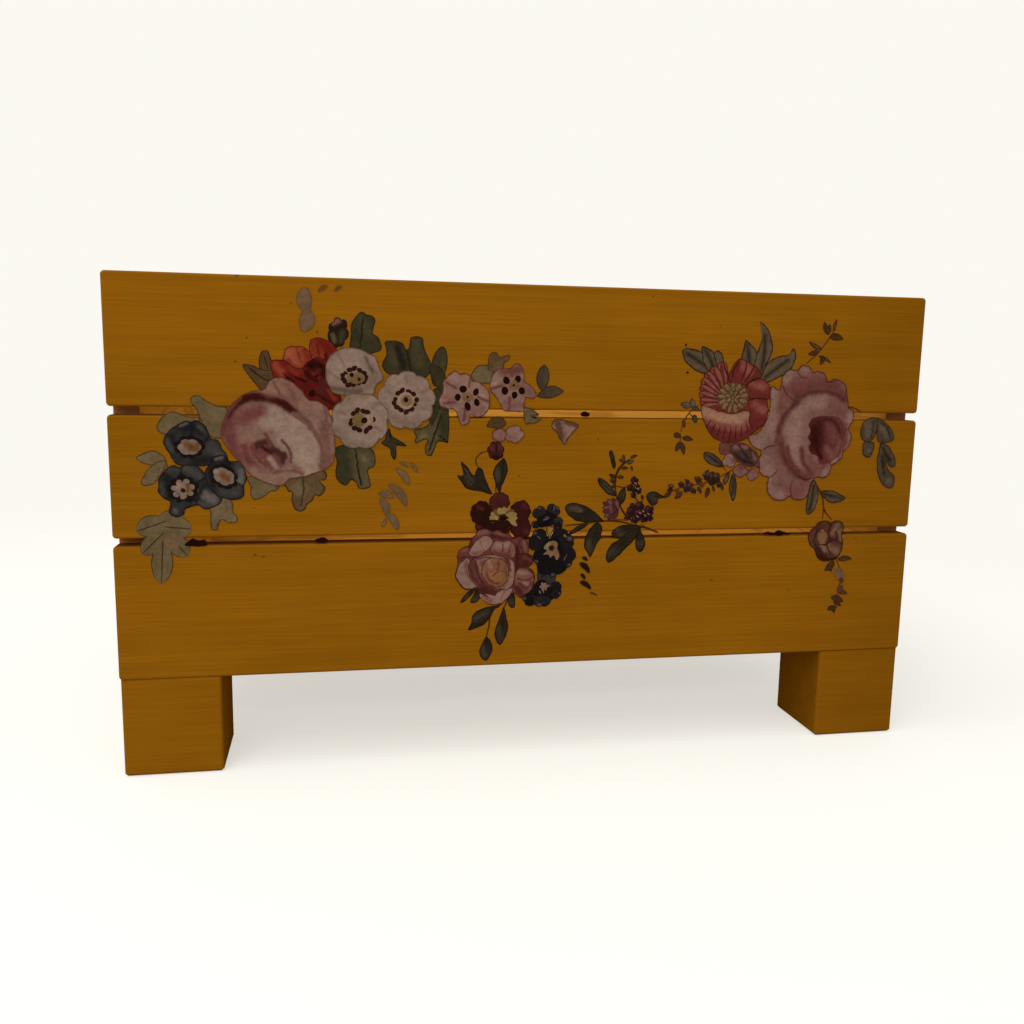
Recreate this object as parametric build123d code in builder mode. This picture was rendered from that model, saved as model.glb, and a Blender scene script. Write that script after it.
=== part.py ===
"""Open slatted keepsake box on four block feet, in millimetres.

Two solid end boards stand on a slatted floor. Three slats close the front and three
close the back. They cover the end boards' edges and the floor's long edges, so that the
front shows only slats and two narrow gaps. A square block foot is glued and screwed
under each corner. The brads that hold the slats are set below the face and filled over.

X runs along the front, the decorated front faces -Y and Z is up. The origin is on the
surface that the feet stand on, below the middle of the box.
"""

import os

from build123d import *

# Overall size
box_width = 300.0
box_depth = 200.0

# Front and back slats, with their heights and the gaps between them from the bottom up
slat_thickness = 6.5
bottom_slat_height = 47.7
lower_gap = 2.6
middle_slat_height = 42.3
upper_gap = 2.8
top_slat_height = 44.4
slat_edge_radius = 0.9
slat_corner_extra = 0.5  # how much rounder a slat's corners are than its arrises

# End boards, which stand back a little from the slats' ends
end_board_thickness = 8.6
slat_overhang = 0.9
end_board_edge_radius = 0.9

# Floor slats, which run along X under the end boards
floor_slat_count = 4
floor_slat_thickness = 6.5
floor_slat_gap = 3.0
floor_slat_edge_radius = 0.6

# Block feet, which stand back a little from the slats' faces and ends
foot_side = 34.0
foot_height = 35.6
foot_inset = 0.4
foot_edge_radius = 1.2
foot_bottom_chamfer = 0.9

# Brads of flat wire with chisel points, set below the face in pockets that are filled over
brad_length = 20.0
brad_width = 1.2
brad_thickness = 1.0
brad_head_width = 2.0
brad_head_height = 0.8
brad_point_length = 2.0
brad_set_depth = 0.8
brad_clearance = 0.05
slat_brad_inset = 10.5  # from a slat's long edge to its brads
brad_spacing = 2.2  # from the slat brads' points to the floor brads

# Countersunk cross-head screws, one for each foot, driven down from inside the box
screw_length = 25.0
screw_shank_radius = 1.75
screw_head_radius = 3.5
screw_point_length = 2.5
screw_set_depth = 0.2
screw_clearance = 0.05
recess_width = 1.0
recess_span = 4.2
recess_depth = 1.5

# Heights and places worked out from the sizes above
wall_base = foot_height
floor_top = wall_base + floor_slat_thickness
middle_slat_base = wall_base + bottom_slat_height + lower_gap
top_slat_base = middle_slat_base + middle_slat_height + upper_gap
wall_top = top_slat_base + top_slat_height
inner_depth = box_depth - 2 * slat_thickness
end_board_outer_x = box_width / 2 - slat_overhang
end_board_inner_x = end_board_outer_x - end_board_thickness
end_board_middle_x = (end_board_outer_x + end_board_inner_x) / 2
floor_slat_width = (inner_depth - (floor_slat_count - 1) * floor_slat_gap) / floor_slat_count
slat_brad_reach = brad_length + brad_set_depth - slat_thickness
floor_brad_inset = slat_brad_reach + brad_spacing
foot_outer_x = box_width / 2 - foot_inset
foot_outer_y = box_depth / 2 - foot_inset
foot_middle_x = foot_outer_x - foot_side / 2
foot_middle_y = foot_outer_y - foot_side / 2

# A screw stands in the middle of what shows of its foot's top from inside the box
screw_x = (end_board_inner_x + foot_outer_x - foot_side) / 2
screw_y = (inner_depth / 2 + foot_outer_y - foot_side) / 2

ends = {"left": -1, "right": 1}
walls = {"front": -1, "back": 1}
wall_slats = {
    "bottom": (wall_base, bottom_slat_height),
    "middle": (middle_slat_base, middle_slat_height),
    "top": (top_slat_base, top_slat_height),
}


def brad(clearance=0.0):
    """A brad along +Z, its head's face at the origin. A clearance makes it the hole."""
    head = brad_head_width / 2 + clearance
    shank = brad_width / 2 + clearance
    neck = brad_head_height + clearance
    tip = brad_length + clearance
    with BuildPart() as nail:
        with BuildSketch(Plane.XZ):
            with BuildLine():
                half = Polyline(
                    (0, 0),
                    (head, 0),
                    (head, neck),
                    (shank, neck),
                    (shank, tip - brad_point_length),
                    (0, tip),
                )
                mirror(half, about=Plane.YZ)
            make_face()
        extrude(amount=brad_thickness / 2 + clearance, both=True)
    return nail.part


def foot_screw():
    """A countersunk screw along +Z with a cross recess, its head's face at the origin."""
    with BuildPart() as screw:
        with BuildSketch(Plane.XZ):
            with BuildLine():
                Polyline(
                    (0, 0),
                    (screw_head_radius, 0),
                    (screw_shank_radius, screw_head_radius - screw_shank_radius),
                    (screw_shank_radius, screw_length - screw_point_length),
                    (0, screw_length),
                    close=True,
                )
            make_face()
        revolve(axis=Axis.Z)
        with BuildSketch():
            Rectangle(recess_span, recess_width)
            Rectangle(recess_width, recess_span)
        extrude(amount=recess_depth, mode=Mode.SUBTRACT)
    return screw.part


def foot_screw_hole():
    """The screw's drilled and countersunk hole, open above because the head is set below the floor."""
    head = screw_head_radius + screw_clearance
    shank = screw_shank_radius + screw_clearance
    bottom = screw_length + screw_clearance
    with BuildPart() as hole:
        with BuildSketch(Plane.XZ):
            with BuildLine():
                Polyline(
                    (0, -screw_set_depth),
                    (head, -screw_set_depth),
                    (head, 0),
                    (shank, head - shank),
                    (shank, bottom),
                    (0, bottom),
                    close=True,
                )
            make_face()
        revolve(axis=Axis.Z)
    return hole.part


def slat_brad_places(side, base, height):
    """Two brads at each end of one front or back slat, driven into the end boards' edges."""
    face = side * (box_depth / 2 - brad_set_depth)
    return [
        Plane((end * end_board_middle_x, face, base + level), x_dir=(1, 0, 0), z_dir=(0, -side, 0))
        for end in ends.values()
        for level in (slat_brad_inset, height - slat_brad_inset)
    ]


def floor_slat_middle(index):
    """Y of a floor slat's middle line, counted from the front."""
    pitch = floor_slat_width + floor_slat_gap
    return (index - (floor_slat_count - 1) / 2) * pitch


def floor_brad_places(index):
    """Two brads at each end of one floor slat, driven up into the end boards, clear of the slat brads."""
    middle = floor_slat_middle(index)
    offset = floor_slat_width / 2 - floor_brad_inset
    return [
        Plane((end * end_board_middle_x, middle + sign * offset, wall_base + brad_set_depth))
        for end in ends.values()
        for sign in (-1, 1)
    ]


def keep(piece, name):
    """Labels a finished piece and writes its file."""
    piece.part.label = name
    export_step(piece.part, f"parts/{name}.step")


one_brad = brad()
brad_hole = brad(brad_clearance)
one_screw = foot_screw()
screw_hole = foot_screw_hole()

wall_brad_places = {
    wall: [place for sizes in wall_slats.values() for place in slat_brad_places(side, *sizes)]
    for wall, side in walls.items()
}
all_floor_brad_places = [
    place for index in range(floor_slat_count) for place in floor_brad_places(index)
]
screw_places = [
    Plane((end * screw_x, side * screw_y, floor_top - screw_set_depth), z_dir=(0, 0, -1))
    for end in ends.values()
    for side in walls.values()
]

os.makedirs("parts", exist_ok=True)

# Front and back slats, rounded on the outside, square where they bear on the end boards
for wall, side in walls.items():
    outward = Axis((0, 0, 0), (0, side, 0))
    for level, (base, height) in wall_slats.items():
        outer_face = Plane(
            (0, side * box_depth / 2, base + height / 2), x_dir=(1, 0, 0), z_dir=(0, -side, 0)
        )
        with BuildPart() as wall_slat:
            with BuildSketch(outer_face):
                RectangleRounded(box_width, height, slat_edge_radius + slat_corner_extra)
            extrude(amount=slat_thickness)
            fillet(wall_slat.faces().sort_by(outward)[-1].edges(), slat_edge_radius)
            with Locations(*slat_brad_places(side, base, height)):
                add(brad_hole, mode=Mode.SUBTRACT)
        keep(wall_slat, f"{wall}_{level}_slat")

# End boards, square where the slats and the floor bear on them and eased along the top
for end_name, end in ends.items():
    outer_face = Plane(
        (end * end_board_outer_x, 0, floor_top), x_dir=(0, -end, 0), z_dir=(-end, 0, 0)
    )
    with BuildPart() as end_board:
        with BuildSketch(outer_face):
            Rectangle(inner_depth, wall_top - floor_top, align=(Align.CENTER, Align.MIN))
        extrude(amount=end_board_thickness)
        top_edges = end_board.edges().filter_by(Axis.Y).group_by(Axis.Z)[-1]
        fillet(top_edges, end_board_edge_radius)
        with Locations(*wall_brad_places["front"], *wall_brad_places["back"], *all_floor_brad_places):
            add(brad_hole, mode=Mode.SUBTRACT)
    keep(end_board, f"{end_name}_end_board")

# Floor slats, flush with the end boards' outer faces and the walls' lower edges
for index in range(floor_slat_count):
    slat_end = Plane(
        (-end_board_outer_x, floor_slat_middle(index), wall_base + floor_slat_thickness / 2),
        x_dir=(0, 1, 0),
        z_dir=(1, 0, 0),
    )
    with BuildPart() as floor_slat:
        with BuildSketch(slat_end):
            RectangleRounded(floor_slat_width, floor_slat_thickness, floor_slat_edge_radius)
        extrude(amount=2 * end_board_outer_x)
        with Locations(*floor_brad_places(index)):
            add(brad_hole, mode=Mode.SUBTRACT)
        with Locations(*screw_places):
            add(screw_hole, mode=Mode.SUBTRACT)
    keep(floor_slat, f"floor_slat_{index + 1}")

# Block feet, cut from squared batten with rounded arrises and chamfered underneath
for wall, side in walls.items():
    for end_name, end in ends.items():
        with BuildPart() as foot:
            with BuildSketch(Plane((end * foot_middle_x, side * foot_middle_y, 0))):
                RectangleRounded(foot_side, foot_side, foot_edge_radius)
            extrude(amount=foot_height)
            chamfer(foot.faces().sort_by(Axis.Z)[0].edges(), foot_bottom_chamfer)
            with Locations(*screw_places):
                add(screw_hole, mode=Mode.SUBTRACT)
        keep(foot, f"{wall}_{end_name}_foot")

# Fasteners, each kind in one node for each place it is used
for name, fastener, places in (
    ("front_slat_brads", one_brad, wall_brad_places["front"]),
    ("back_slat_brads", one_brad, wall_brad_places["back"]),
    ("floor_brads", one_brad, all_floor_brad_places),
    ("foot_screws", one_screw, screw_places),
):
    with BuildPart() as fasteners:
        with Locations(*places):
            add(fastener)
    keep(fasteners, name)
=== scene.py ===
"""Looks of an open slatted keepsake box: brushed paint on pine, bare pine inside, steel
fasteners, printed paper flowers glued on the front, and a plain floor in soft light.

The flowers are drawn on the front in millimetres, x to the right and z up, from the middle
of their own group, or else from below the box's middle, on the surface that the feet stand
on. Each group is a piece of thin paper.
"""

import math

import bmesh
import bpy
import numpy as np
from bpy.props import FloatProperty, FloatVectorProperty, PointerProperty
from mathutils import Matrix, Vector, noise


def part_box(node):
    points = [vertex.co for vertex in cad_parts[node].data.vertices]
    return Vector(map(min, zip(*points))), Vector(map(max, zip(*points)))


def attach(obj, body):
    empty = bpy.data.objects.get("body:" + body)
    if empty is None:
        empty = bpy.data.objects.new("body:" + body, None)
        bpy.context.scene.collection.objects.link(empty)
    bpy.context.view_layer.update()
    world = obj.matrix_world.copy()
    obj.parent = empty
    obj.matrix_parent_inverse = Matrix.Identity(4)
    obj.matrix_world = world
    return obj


bl_info = {
    "name": "Slatted keepsake box",
    "version": (1, 0, 0),
    "blender": (4, 5, 0),
    "location": "3D View > Sidebar > Keepsake Box",
    "description": "Paint, bare wood, steel and paper flowers for an open slatted box on block feet",
    "category": "Object",
}

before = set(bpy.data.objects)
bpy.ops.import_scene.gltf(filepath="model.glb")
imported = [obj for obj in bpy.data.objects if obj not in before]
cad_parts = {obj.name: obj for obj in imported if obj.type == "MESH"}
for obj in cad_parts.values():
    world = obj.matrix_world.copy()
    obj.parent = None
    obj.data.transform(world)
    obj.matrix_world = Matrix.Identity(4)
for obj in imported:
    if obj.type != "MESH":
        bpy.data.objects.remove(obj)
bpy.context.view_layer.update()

MM = 0.001
FRONT_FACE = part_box("front_top_slat")[0].y
BACK_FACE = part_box("back_top_slat")[1].y
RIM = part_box("front_top_slat")[1].z
FLOOR_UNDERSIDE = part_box("floor_slat_1")[0].z
SLAT_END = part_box("front_top_slat")[1].x
GAPS = [
    (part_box(f"front_{lower}_slat")[1].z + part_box(f"front_{upper}_slat")[0].z) / 2
    for lower, upper in (("bottom", "middle"), ("middle", "top"))
]
GAP_REACH = 2.6 * MM
SLAT_THICKNESS = 6.5 * MM
END_BOARD_INSET = 5.2 * MM  # from the slats' ends to the middle of the end boards' edges
END_BOARD_REACH = 4.4 * MM
PAINT_STOP = 2.4 * MM  # how far the paint turns in at the slats' ends

# The camera stands where the sixteen corners of the front and the feet fit the photograph
CAMERA_PLACE = (-0.07479, -0.43397, 0.14525)
CAMERA_TURN = (81.378, -0.965, -10.602)
CAMERA_LENS = 32.945
CAMERA_SENSOR = 36.0

# The lamps' places and sides in metres
KEY_LAMP = (-0.5, -1.45, 1.1), 1.3
TOP_LAMP = (-0.42, -0.3, 1.2), 1.0

# The floor's size, its distance under the feet, and where it fades into the background
FLOOR_REACH = 12
FLOOR_DROP = 0.2 * MM
FADE_START, FADE_END = 0.24, 0.75
FLOOR_SPECK = (0.8, 0.78, 0.72, 1)
FLOOR_BOUNCE = (0.5, 0.46, 0.38, 1)  # what the floor throws back onto the box, as a pale table does

SMOOTH = {"interpolation_type": "SMOOTHSTEP"}

# Millimetres on the printed paper
CURVE_STEP = 0.6
SPINE_STEP = 0.4
STROKE_STEP = 0.5
EDGE_GRAIN = 2.5  # length of the wanderings of a cut edge
NOISE_SEED = 1  # fixed, because the clock seeds the noise otherwise
STROKE_SHAKE, STROKE_GRAIN, STROKE_SEED = 0.35, 1.6, 7.0
BARE_BORDER = 0.05  # inset of a shape that has no pen line

# Distance from the pen line in pen widths, where 1 is the line's edge
PEN_EDGE = 1.5
NO_PEN = 9.0
BLADE_RINGS = 3


def linear(hex_colour):
    """An sRGB hex colour as linear red, green and blue."""
    shares = [int(hex_colour[i : i + 2], 16) / 255 for i in (1, 3, 5)]
    return tuple(s / 12.92 if s <= 0.04045 else ((s + 0.055) / 1.055) ** 2.4 for s in shares)


def colour(name, description, hex_colour):
    """A colour that a user may change, with its sRGB hex value as the default."""
    return FloatVectorProperty(
        name=name, description=description, subtype="COLOR", size=3, min=0, max=1,
        default=linear(hex_colour),
    )


def length(name, description, metres):
    """A size that a user may change, in metres."""
    return FloatProperty(
        name=name, description=description, unit="LENGTH", precision=5, min=0, default=metres
    )


class KeepsakeFinish(bpy.types.PropertyGroup):
    """Colours and sizes of the paint, the bare wood and the steel"""

    paint: colour("Paint", "Golden yellow paint", "#83530B")
    paint_thin: colour("Thin paint", "Paint drawn out thin by the brush", "#73470A")
    paint_thick: colour("Thick paint", "Paint left full between brush marks", "#8C5A0B")
    grime: colour("Grime", "Specks, stains and chips", "#3F2306")
    # Grime together with painted shade, laid on the slats' upper edges in the gaps
    gap_grime_and_shade: colour("Grime in the gaps", "Slats' upper edges in the gaps", "#63390F")
    board_edge: colour("End board edge", "Dark edges of the end boards in the gaps", "#A0643A")
    wood: colour("Wood", "Pale early wood of the floor", "#CF9F5E")
    late_wood: colour("Late wood", "Darker lines of the floor's growth rings", "#9A6A36")
    inner_wood: colour("Inner wood", "Golden early wood inside the walls", "#C69039")
    inner_late_wood: colour("Inner late wood", "Growth rings inside the walls", "#A47227")
    steel: colour("Steel", "Drawn steel wire", "#9E9E9E")
    zinc: colour("Zinc", "Yellowish zinc plating", "#B9B39A")
    streak_length: length("Streak length", "Length of a brush mark", 34 * MM)
    streak_width: length("Streak width", "Width of a brush mark", 0.6 * MM)
    blotch: length("Blotch", "Size of the paint's uneven patches", 26 * MM)
    speck_spacing: length("Speck spacing", "Distance between specks", 8.5 * MM)
    ring_width: length("Ring width", "Distance between growth rings", 3.2 * MM)
    fibre_width: length("Fibre width", "Width of the wood's fibres", 0.4 * MM)


# Printing inks by what they colour, with their sRGB hex values
INKS = {
    "grey-green leaves": {"sage": "#5C4D34", "sage_pale": "#63533A", "sage_line": "#3C2B18",
        "leaf_blush": "#68503A", "moss": "#533F29"},
    "dark leaves on the left": {"ivy": "#302B1A", "ivy_mid": "#3A331F", "ivy_pale": "#4A4029",
        "ivy_line": "#1D190E"},
    "olive leaves": {"olive": "#493520", "olive_line": "#2F1F0F"},
    "faded snippets": {"buff": "#614A34", "buff_line": "#5A3E1C", "dab": "#5F3A14"},
    "grey leaves": {"grey_leaf": "#41362A", "grey_leaf_pale": "#54463A", "grey_leaf_line": "#2A1D10"},
    "deep green leaves": {"deep_leaf": "#231D14", "deep_leaf_pale": "#382F24", "deep_leaf_line": "#191109",
        "stem": "#3B2411", "bud": "#1F130B"},
    "blue flowers": {"midnight": "#1B181A", "dusk": "#272525", "slate": "#383532", "mist": "#544D47",
        "shadow": "#140E0C", "chalk": "#6F5A4E", "ochre": "#5A3A1C"},
    "left rose": {"blush": "#76574B", "cream": "#846D5F", "rosy": "#5F3430", "rosy_pale": "#714B43",
        "rose_rim": "#582F2B", "rose_line": "#55301F", "crimson": "#330D0B", "top_petal": "#765548",
        "mauve_shade": "#69463C", "fold": "#60423A", "heart": "#3F201C", "heart_deep": "#30120E"},
    "coral flower": {"salmon": "#7C3624", "salmon_pale": "#86432C", "salmon_dark": "#692716",
        "brick": "#6C2317", "scarlet": "#5A150D", "ruby": "#4C120D", "maroon": "#280A06",
        "black_red": "#240402", "magenta": "#471819", "coral_line": "#3A120B"},
    "white flowers": {"petal_white": "#7D675A", "petal_grey": "#6F5A4D", "petal_shade": "#544338",
        "petal_line": "#513D2D", "dash": "#28110A", "dot": "#190603", "eye_cream": "#826A59",
        "eye_tan": "#6A4F36", "eye_olive": "#68502C"},
    "mauve flowers": {"ochre_eye": "#6C4E31", "lilac": "#785A4F", "lilac_pale": "#83665A",
        "lilac_deep": "#6E4B44", "lilac_shade": "#5C352E", "lilac_grey": "#402D28", "lilac_line": "#4A2517",
        "berry": "#371514", "berry_pale": "#4A2121"},
    "wine red flower": {"wine": "#31100D", "wine_pale": "#411A16", "wine_dark": "#240D06",
        "star": "#80673A", "star_low": "#5E4024"},
    "peony": {"peony_pale": "#7C5E53", "peony_pink": "#6A433A", "peony_mauve": "#552D29",
        "peony_deep": "#411B17", "peony_line": "#34140F", "peach": "#754B34", "peach_glow": "#7C5430",
        "peach_low": "#653F2A"},
    "blue-black flowers": {"inky": "#181315", "inky_pale": "#201C1D", "inky_light": "#2E2928",
        "inky_glint": "#454040", "inky_deep": "#100C0D", "eye_buff": "#6C5A3E"},
    "thistle and the small florets": {"thistle": "#462425", "thistle_pale": "#5F3B38",
        "thistle_line": "#321214", "floret_plum": "#291116", "calyx": "#452B17", "floret_dark": "#281611",
        "floret_pink": "#4C352C", "floret_red": "#3E1710"},
    "dark leaves on the right": {"dark_leaf": "#332A1F", "dark_leaf_pale": "#504232",
        "dark_leaf_line": "#21160D", "twig": "#502A0F", "twig_pale": "#5A3A20"},
    "ribbed flower": {"ribbed_red": "#60231F", "ribbed_pale": "#88644F", "ribbed_pink": "#723F35",
        "ribbed_low": "#54211C", "ribbed_line": "#3A160F", "rib": "#3A110C", "stamen": "#6E553B",
        "stamen_low": "#563827", "stamen_dark": "#3A2312"},
    "right rose": {"second_rose": "#69473F", "second_pale": "#785950", "second_cup": "#7B5C52",
        "second_rosy": "#653E38", "second_mauve": "#5B322E", "second_streak": "#572A27",
        "second_band": "#4D2723", "second_deep": "#3D1816", "second_heart": "#2E0C0A",
        "second_line": "#3E1710"},
    "rosebud": {"bud_mauve": "#4D2D20", "bud_tan": "#68482D", "bud_top": "#432715", "bud_dark": "#321815",
        "bud_pale": "#6A4B39", "bud_line": "#270F08"},
}


class KeepsakeInks(bpy.types.PropertyGroup):
    """Printing inks of the flower cut-outs"""

    __annotations__ = {
        name: colour(name.replace("_", " ").capitalize(), f"Ink of the {group}", tone)
        for group, inks in INKS.items()
        for name, tone in inks.items()
    }


class KeepsakePaper(bpy.types.PropertyGroup):
    """Sizes of the printed paper cut-outs"""

    thickness: length("Thickness", "Thickness of the paper with its varnish", 0.03 * MM)
    step: length("Step", "How much higher each printed shape lies than the one before", 0.0025 * MM)
    wash: length("Wash", "Size of the watercolour's cloudy patches", 5.5 * MM)
    mottle: length("Mottle", "Size of the watercolour's fine mottling", 1.5 * MM)
    fibre: length("Fibre", "Size of the paper's fibres, drawn coarse enough to show", 0.4 * MM)
    gloss: FloatProperty(name="Roughness", description="Roughness of the varnish", default=0.44)


class KeepsakeStage(bpy.types.PropertyGroup):
    """The floor, the background and the lamps"""

    background: colour("Background", "Colour of the floor and the background", "#FBF9F1")
    world_light: FloatProperty(name="World light", description="Light from all round", default=0.61)
    key_power: FloatProperty(
        name="Key lamp", description="Large lamp at the front left", unit="POWER", default=13
    )
    top_power: FloatProperty(name="Top lamp", description="Large lamp overhead", unit="POWER", default=10)


def add(tree, kind, inputs=None, **settings):
    """Adds a shader node. An input takes a value, an output, or a node's first output in use."""
    made = tree.nodes.new("ShaderNode" + kind)
    for key, value in settings.items():
        setattr(made, key, value)
    for key, value in (inputs or {}).items():
        if isinstance(value, bpy.types.Node):
            value = next(output for output in value.outputs if output.enabled)
        if isinstance(value, bpy.types.NodeSocket):
            tree.links.new(value, made.inputs[key])
        else:
            made.inputs[key].default_value = value
    return made


def new_material(name):
    """An empty material with its node tree and its shader."""
    material = bpy.data.materials.new(name)
    material.use_nodes = True
    tree = material.node_tree
    tree.nodes.clear()
    shader = add(tree, "BsdfPrincipled")
    add(tree, "OutputMaterial", {"Surface": shader})
    return material, tree, shader


def grained(tree, place, axis, along, across, detail=3.0, roughness=0.55):
    """A pattern drawn out along one axis, with its grain's length and width in metres, about 0.3 to 0.7."""
    scale = [1 / across] * 3
    scale["XYZ".index(axis)] = 1 / along
    drawn_out = add(tree, "Mapping", {"Vector": place, "Scale": scale})
    settings = {"Vector": drawn_out, "Scale": 1, "Detail": detail, "Roughness": roughness}
    return add(tree, "TexNoise", settings)


def rgba(value):
    """A colour property as the four numbers that a node's socket takes."""
    return (*value, 1.0)


def bare_wood(tree, place, axis, finish, pale, late):
    """Planed pine: early wood, darker ring lines that wander, and fine fibres. Gives colour and height."""
    wander = grained(tree, place, axis, 30 * finish.ring_width, 3 * finish.ring_width, 2.0)
    rings = add(tree, "Math", {0: wander, 1: 9.0}, operation="MULTIPLY")
    rings = add(tree, "Math", {0: rings, 1: 1.0}, operation="PINGPONG")
    lines = add(tree, "MapRange", {0: rings, 1: 0.55, 2: 1.0, 4: 0.75}, **SMOOTH)
    body = add(tree, "Mix", {0: lines, 6: rgba(pale), 7: rgba(late)}, data_type="RGBA")
    fibres = grained(tree, place, axis, 40 * finish.fibre_width, finish.fibre_width)
    shade = add(tree, "MapRange", {0: fibres, 1: 0.3, 2: 0.7, 3: 0.86, 4: 1.07})
    return add(tree, "VectorMath", {0: body, "Scale": shade}, operation="SCALE"), fibres


# Marks on the front that break up the paint: x and z in millimetres, then half the width and height
MARKS = (
    (-106.7, 175, 0.9, 0.7), (-103, 79.5, 1.1, 0.4), (-100, 78.8, 0.8, 0.4), (-104, 154.5, 0.5, 0.5),
    (-89, 166.5, 0.5, 0.4), (-80.5, 157, 0.5, 0.6), (-108, 146.5, 0.6, 0.5), (-9, 107, 0.5, 0.5),
    (20.5, 120.5, 0.5, 0.5), (100, 61.3, 0.6, 0.5), (67.5, 66.3, 0.8, 0.5), (39.5, 172.5, 0.6, 0.4),
)


def painted_pine(axis, finish):
    """Pine with one coat of golden yellow paint, brushed on outside and left bare inside.

    The brush leaves fine streaks along the grain. The coat is uneven in broad patches, has
    painted shade that darkens it towards the right end and along the rim, and holds a few dark
    specks. The slats' upper edges in the gaps carry grime with painted shade, and inside the
    paint stops short on wood that has gone golden.
    """
    material, tree, shader = new_material(f"Brushed golden paint on pine, grain along {axis}")
    shader.inputs["Specular IOR Level"].default_value = 0.0
    place = add(tree, "TexCoord").outputs["Object"]
    x, y, z = add(tree, "SeparateXYZ", {0: place}).outputs
    facing = add(tree, "SeparateXYZ", {0: add(tree, "NewGeometry").outputs["Normal"]}).outputs

    streaks = grained(tree, place, axis, finish.streak_length, finish.streak_width, 4.0, 0.6)
    brushed = add(tree, "MapRange", {0: streaks, 1: 0.36, 2: 0.66}, **SMOOTH)
    thin = rgba(finish.paint_thin)
    coat = add(tree, "Mix", {0: brushed, 6: thin, 7: rgba(finish.paint_thick)}, data_type="RGBA")
    coat = add(tree, "Mix", {0: 0.66, 6: coat, 7: rgba(finish.paint)}, data_type="RGBA")
    broad = grained(tree, place, axis, 5 * finish.streak_length, 9 * finish.streak_width, 2.0)
    broad = add(tree, "MapRange", {0: broad, 1: 0.3, 2: 0.7, 3: -0.05, 4: 0.05})
    blotches = grained(tree, place, axis, 1.6 * finish.blotch, finish.blotch, 2.0)
    blotches = add(tree, "MapRange", {0: blotches, 1: 0.3, 2: 0.7, 3: 0.95, 4: 1.05})
    uneven = add(tree, "Math", {0: broad, 1: blotches}, operation="ADD")
    # Painted shade: the coat darkens towards the right end
    darker_right_shade = add(tree, "MapRange", {0: x, 1: 0.09, 2: SLAT_END, 3: 1.0, 4: 0.87}, **SMOOTH)
    uneven = add(tree, "Math", {0: uneven, 1: darker_right_shade}, operation="MULTIPLY")
    coat = add(tree, "VectorMath", {0: coat, "Scale": uneven}, operation="SCALE")

    # Sparse specks of grit in the paint, some cells empty
    cells = add(tree, "TexVoronoi", {"Vector": place, "Scale": 1 / finish.speck_spacing, "Randomness": 1.0})
    size = add(tree, "SeparateColor", {0: cells.outputs["Color"]})
    reach = add(tree, "MapRange", {0: size, 1: 0.45, 2: 1.0, 3: 0.0, 4: 0.055})
    specks = add(tree, "Math", {0: cells, 1: reach}, operation="LESS_THAN")
    marked = add(tree, "Math", {0: specks, 1: 0.45}, operation="MULTIPLY")

    # Chips and stains on the front face, each an oval with a ragged edge
    on_front = add(tree, "Math", {0: y, 1: FRONT_FACE + 1.5 * MM}, operation="LESS_THAN")
    ragged = grained(tree, place, "X", 0.5 * MM, 0.5 * MM)
    for mark_x, mark_z, width, height in MARKS:
        middle = (mark_x * MM, 0, mark_z * MM)
        centred = add(tree, "VectorMath", {0: place, 1: middle}, operation="SUBTRACT")
        oval = (1 / (width * MM), 0, 1 / (height * MM))
        centred = add(tree, "VectorMath", {0: centred, 1: oval}, operation="MULTIPLY")
        away = add(tree, "VectorMath", {0: centred}, operation="LENGTH").outputs["Value"]
        away = add(tree, "Math", {0: away, 1: ragged}, operation="ADD")
        spot = add(tree, "MapRange", {0: away, 1: 1.55, 2: 0.75, 4: 0.75}, **SMOOTH)
        spot = add(tree, "Math", {0: spot, 1: on_front}, operation="MULTIPLY")
        marked = add(tree, "Math", {0: marked, 1: spot}, operation="MAXIMUM")
    coat = add(tree, "Mix", {0: marked, 6: coat, 7: rgba(finish.grime)}, data_type="RGBA")

    # Painted shade: darker in a band along the rim
    rim = add(tree, "MapRange", {0: z, 1: RIM - 3.5 * MM, 2: RIM - 0.6 * MM, 4: 0.35}, **SMOOTH)
    coat = add(tree, "Mix", {0: rim, 6: coat, 7: thin}, data_type="RGBA")

    # The paint covers the outside and turns in over each edge to a ragged line
    turn_in = grained(tree, place, "X", 6 * MM, 1.2 * MM)
    deep, shallow = BACK_FACE - 5.4 * MM, BACK_FACE - 3.8 * MM
    edge = add(tree, "MapRange", {0: turn_in, 1: 0.3, 2: 0.7, 3: deep, 4: shallow})
    from_middle = add(tree, "Math", {0: y}, operation="ABSOLUTE")
    outside = add(tree, "Math", {0: from_middle, 1: edge}, operation="SUBTRACT")
    sideways = add(tree, "Math", {0: x}, operation="ABSOLUTE")
    from_end = add(tree, "Math", {0: sideways, 1: SLAT_END - PAINT_STOP}, operation="SUBTRACT")
    from_rim = add(tree, "Math", {0: z, 1: RIM - 0.5 * MM}, operation="SUBTRACT")
    under = add(tree, "Math", {0: FLOOR_UNDERSIDE, 1: z}, operation="SUBTRACT")
    above_ground = add(tree, "Math", {0: z, 1: 0.3 * MM}, operation="SUBTRACT")
    under = add(tree, "Math", {0: under, 1: above_ground}, operation="MINIMUM")
    for side in (from_end, from_rim, under):
        outside = add(tree, "Math", {0: outside, 1: side}, operation="MAXIMUM")
    painted = add(tree, "MapRange", {0: outside, 1: -0.1 * MM, 2: 0.1 * MM}, **SMOOTH)
    wood, fibres = bare_wood(tree, place, axis, finish, finish.inner_wood, finish.inner_late_wood)
    whole = add(tree, "Mix", {0: painted, 6: wood, 7: coat}, data_type="RGBA")
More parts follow.
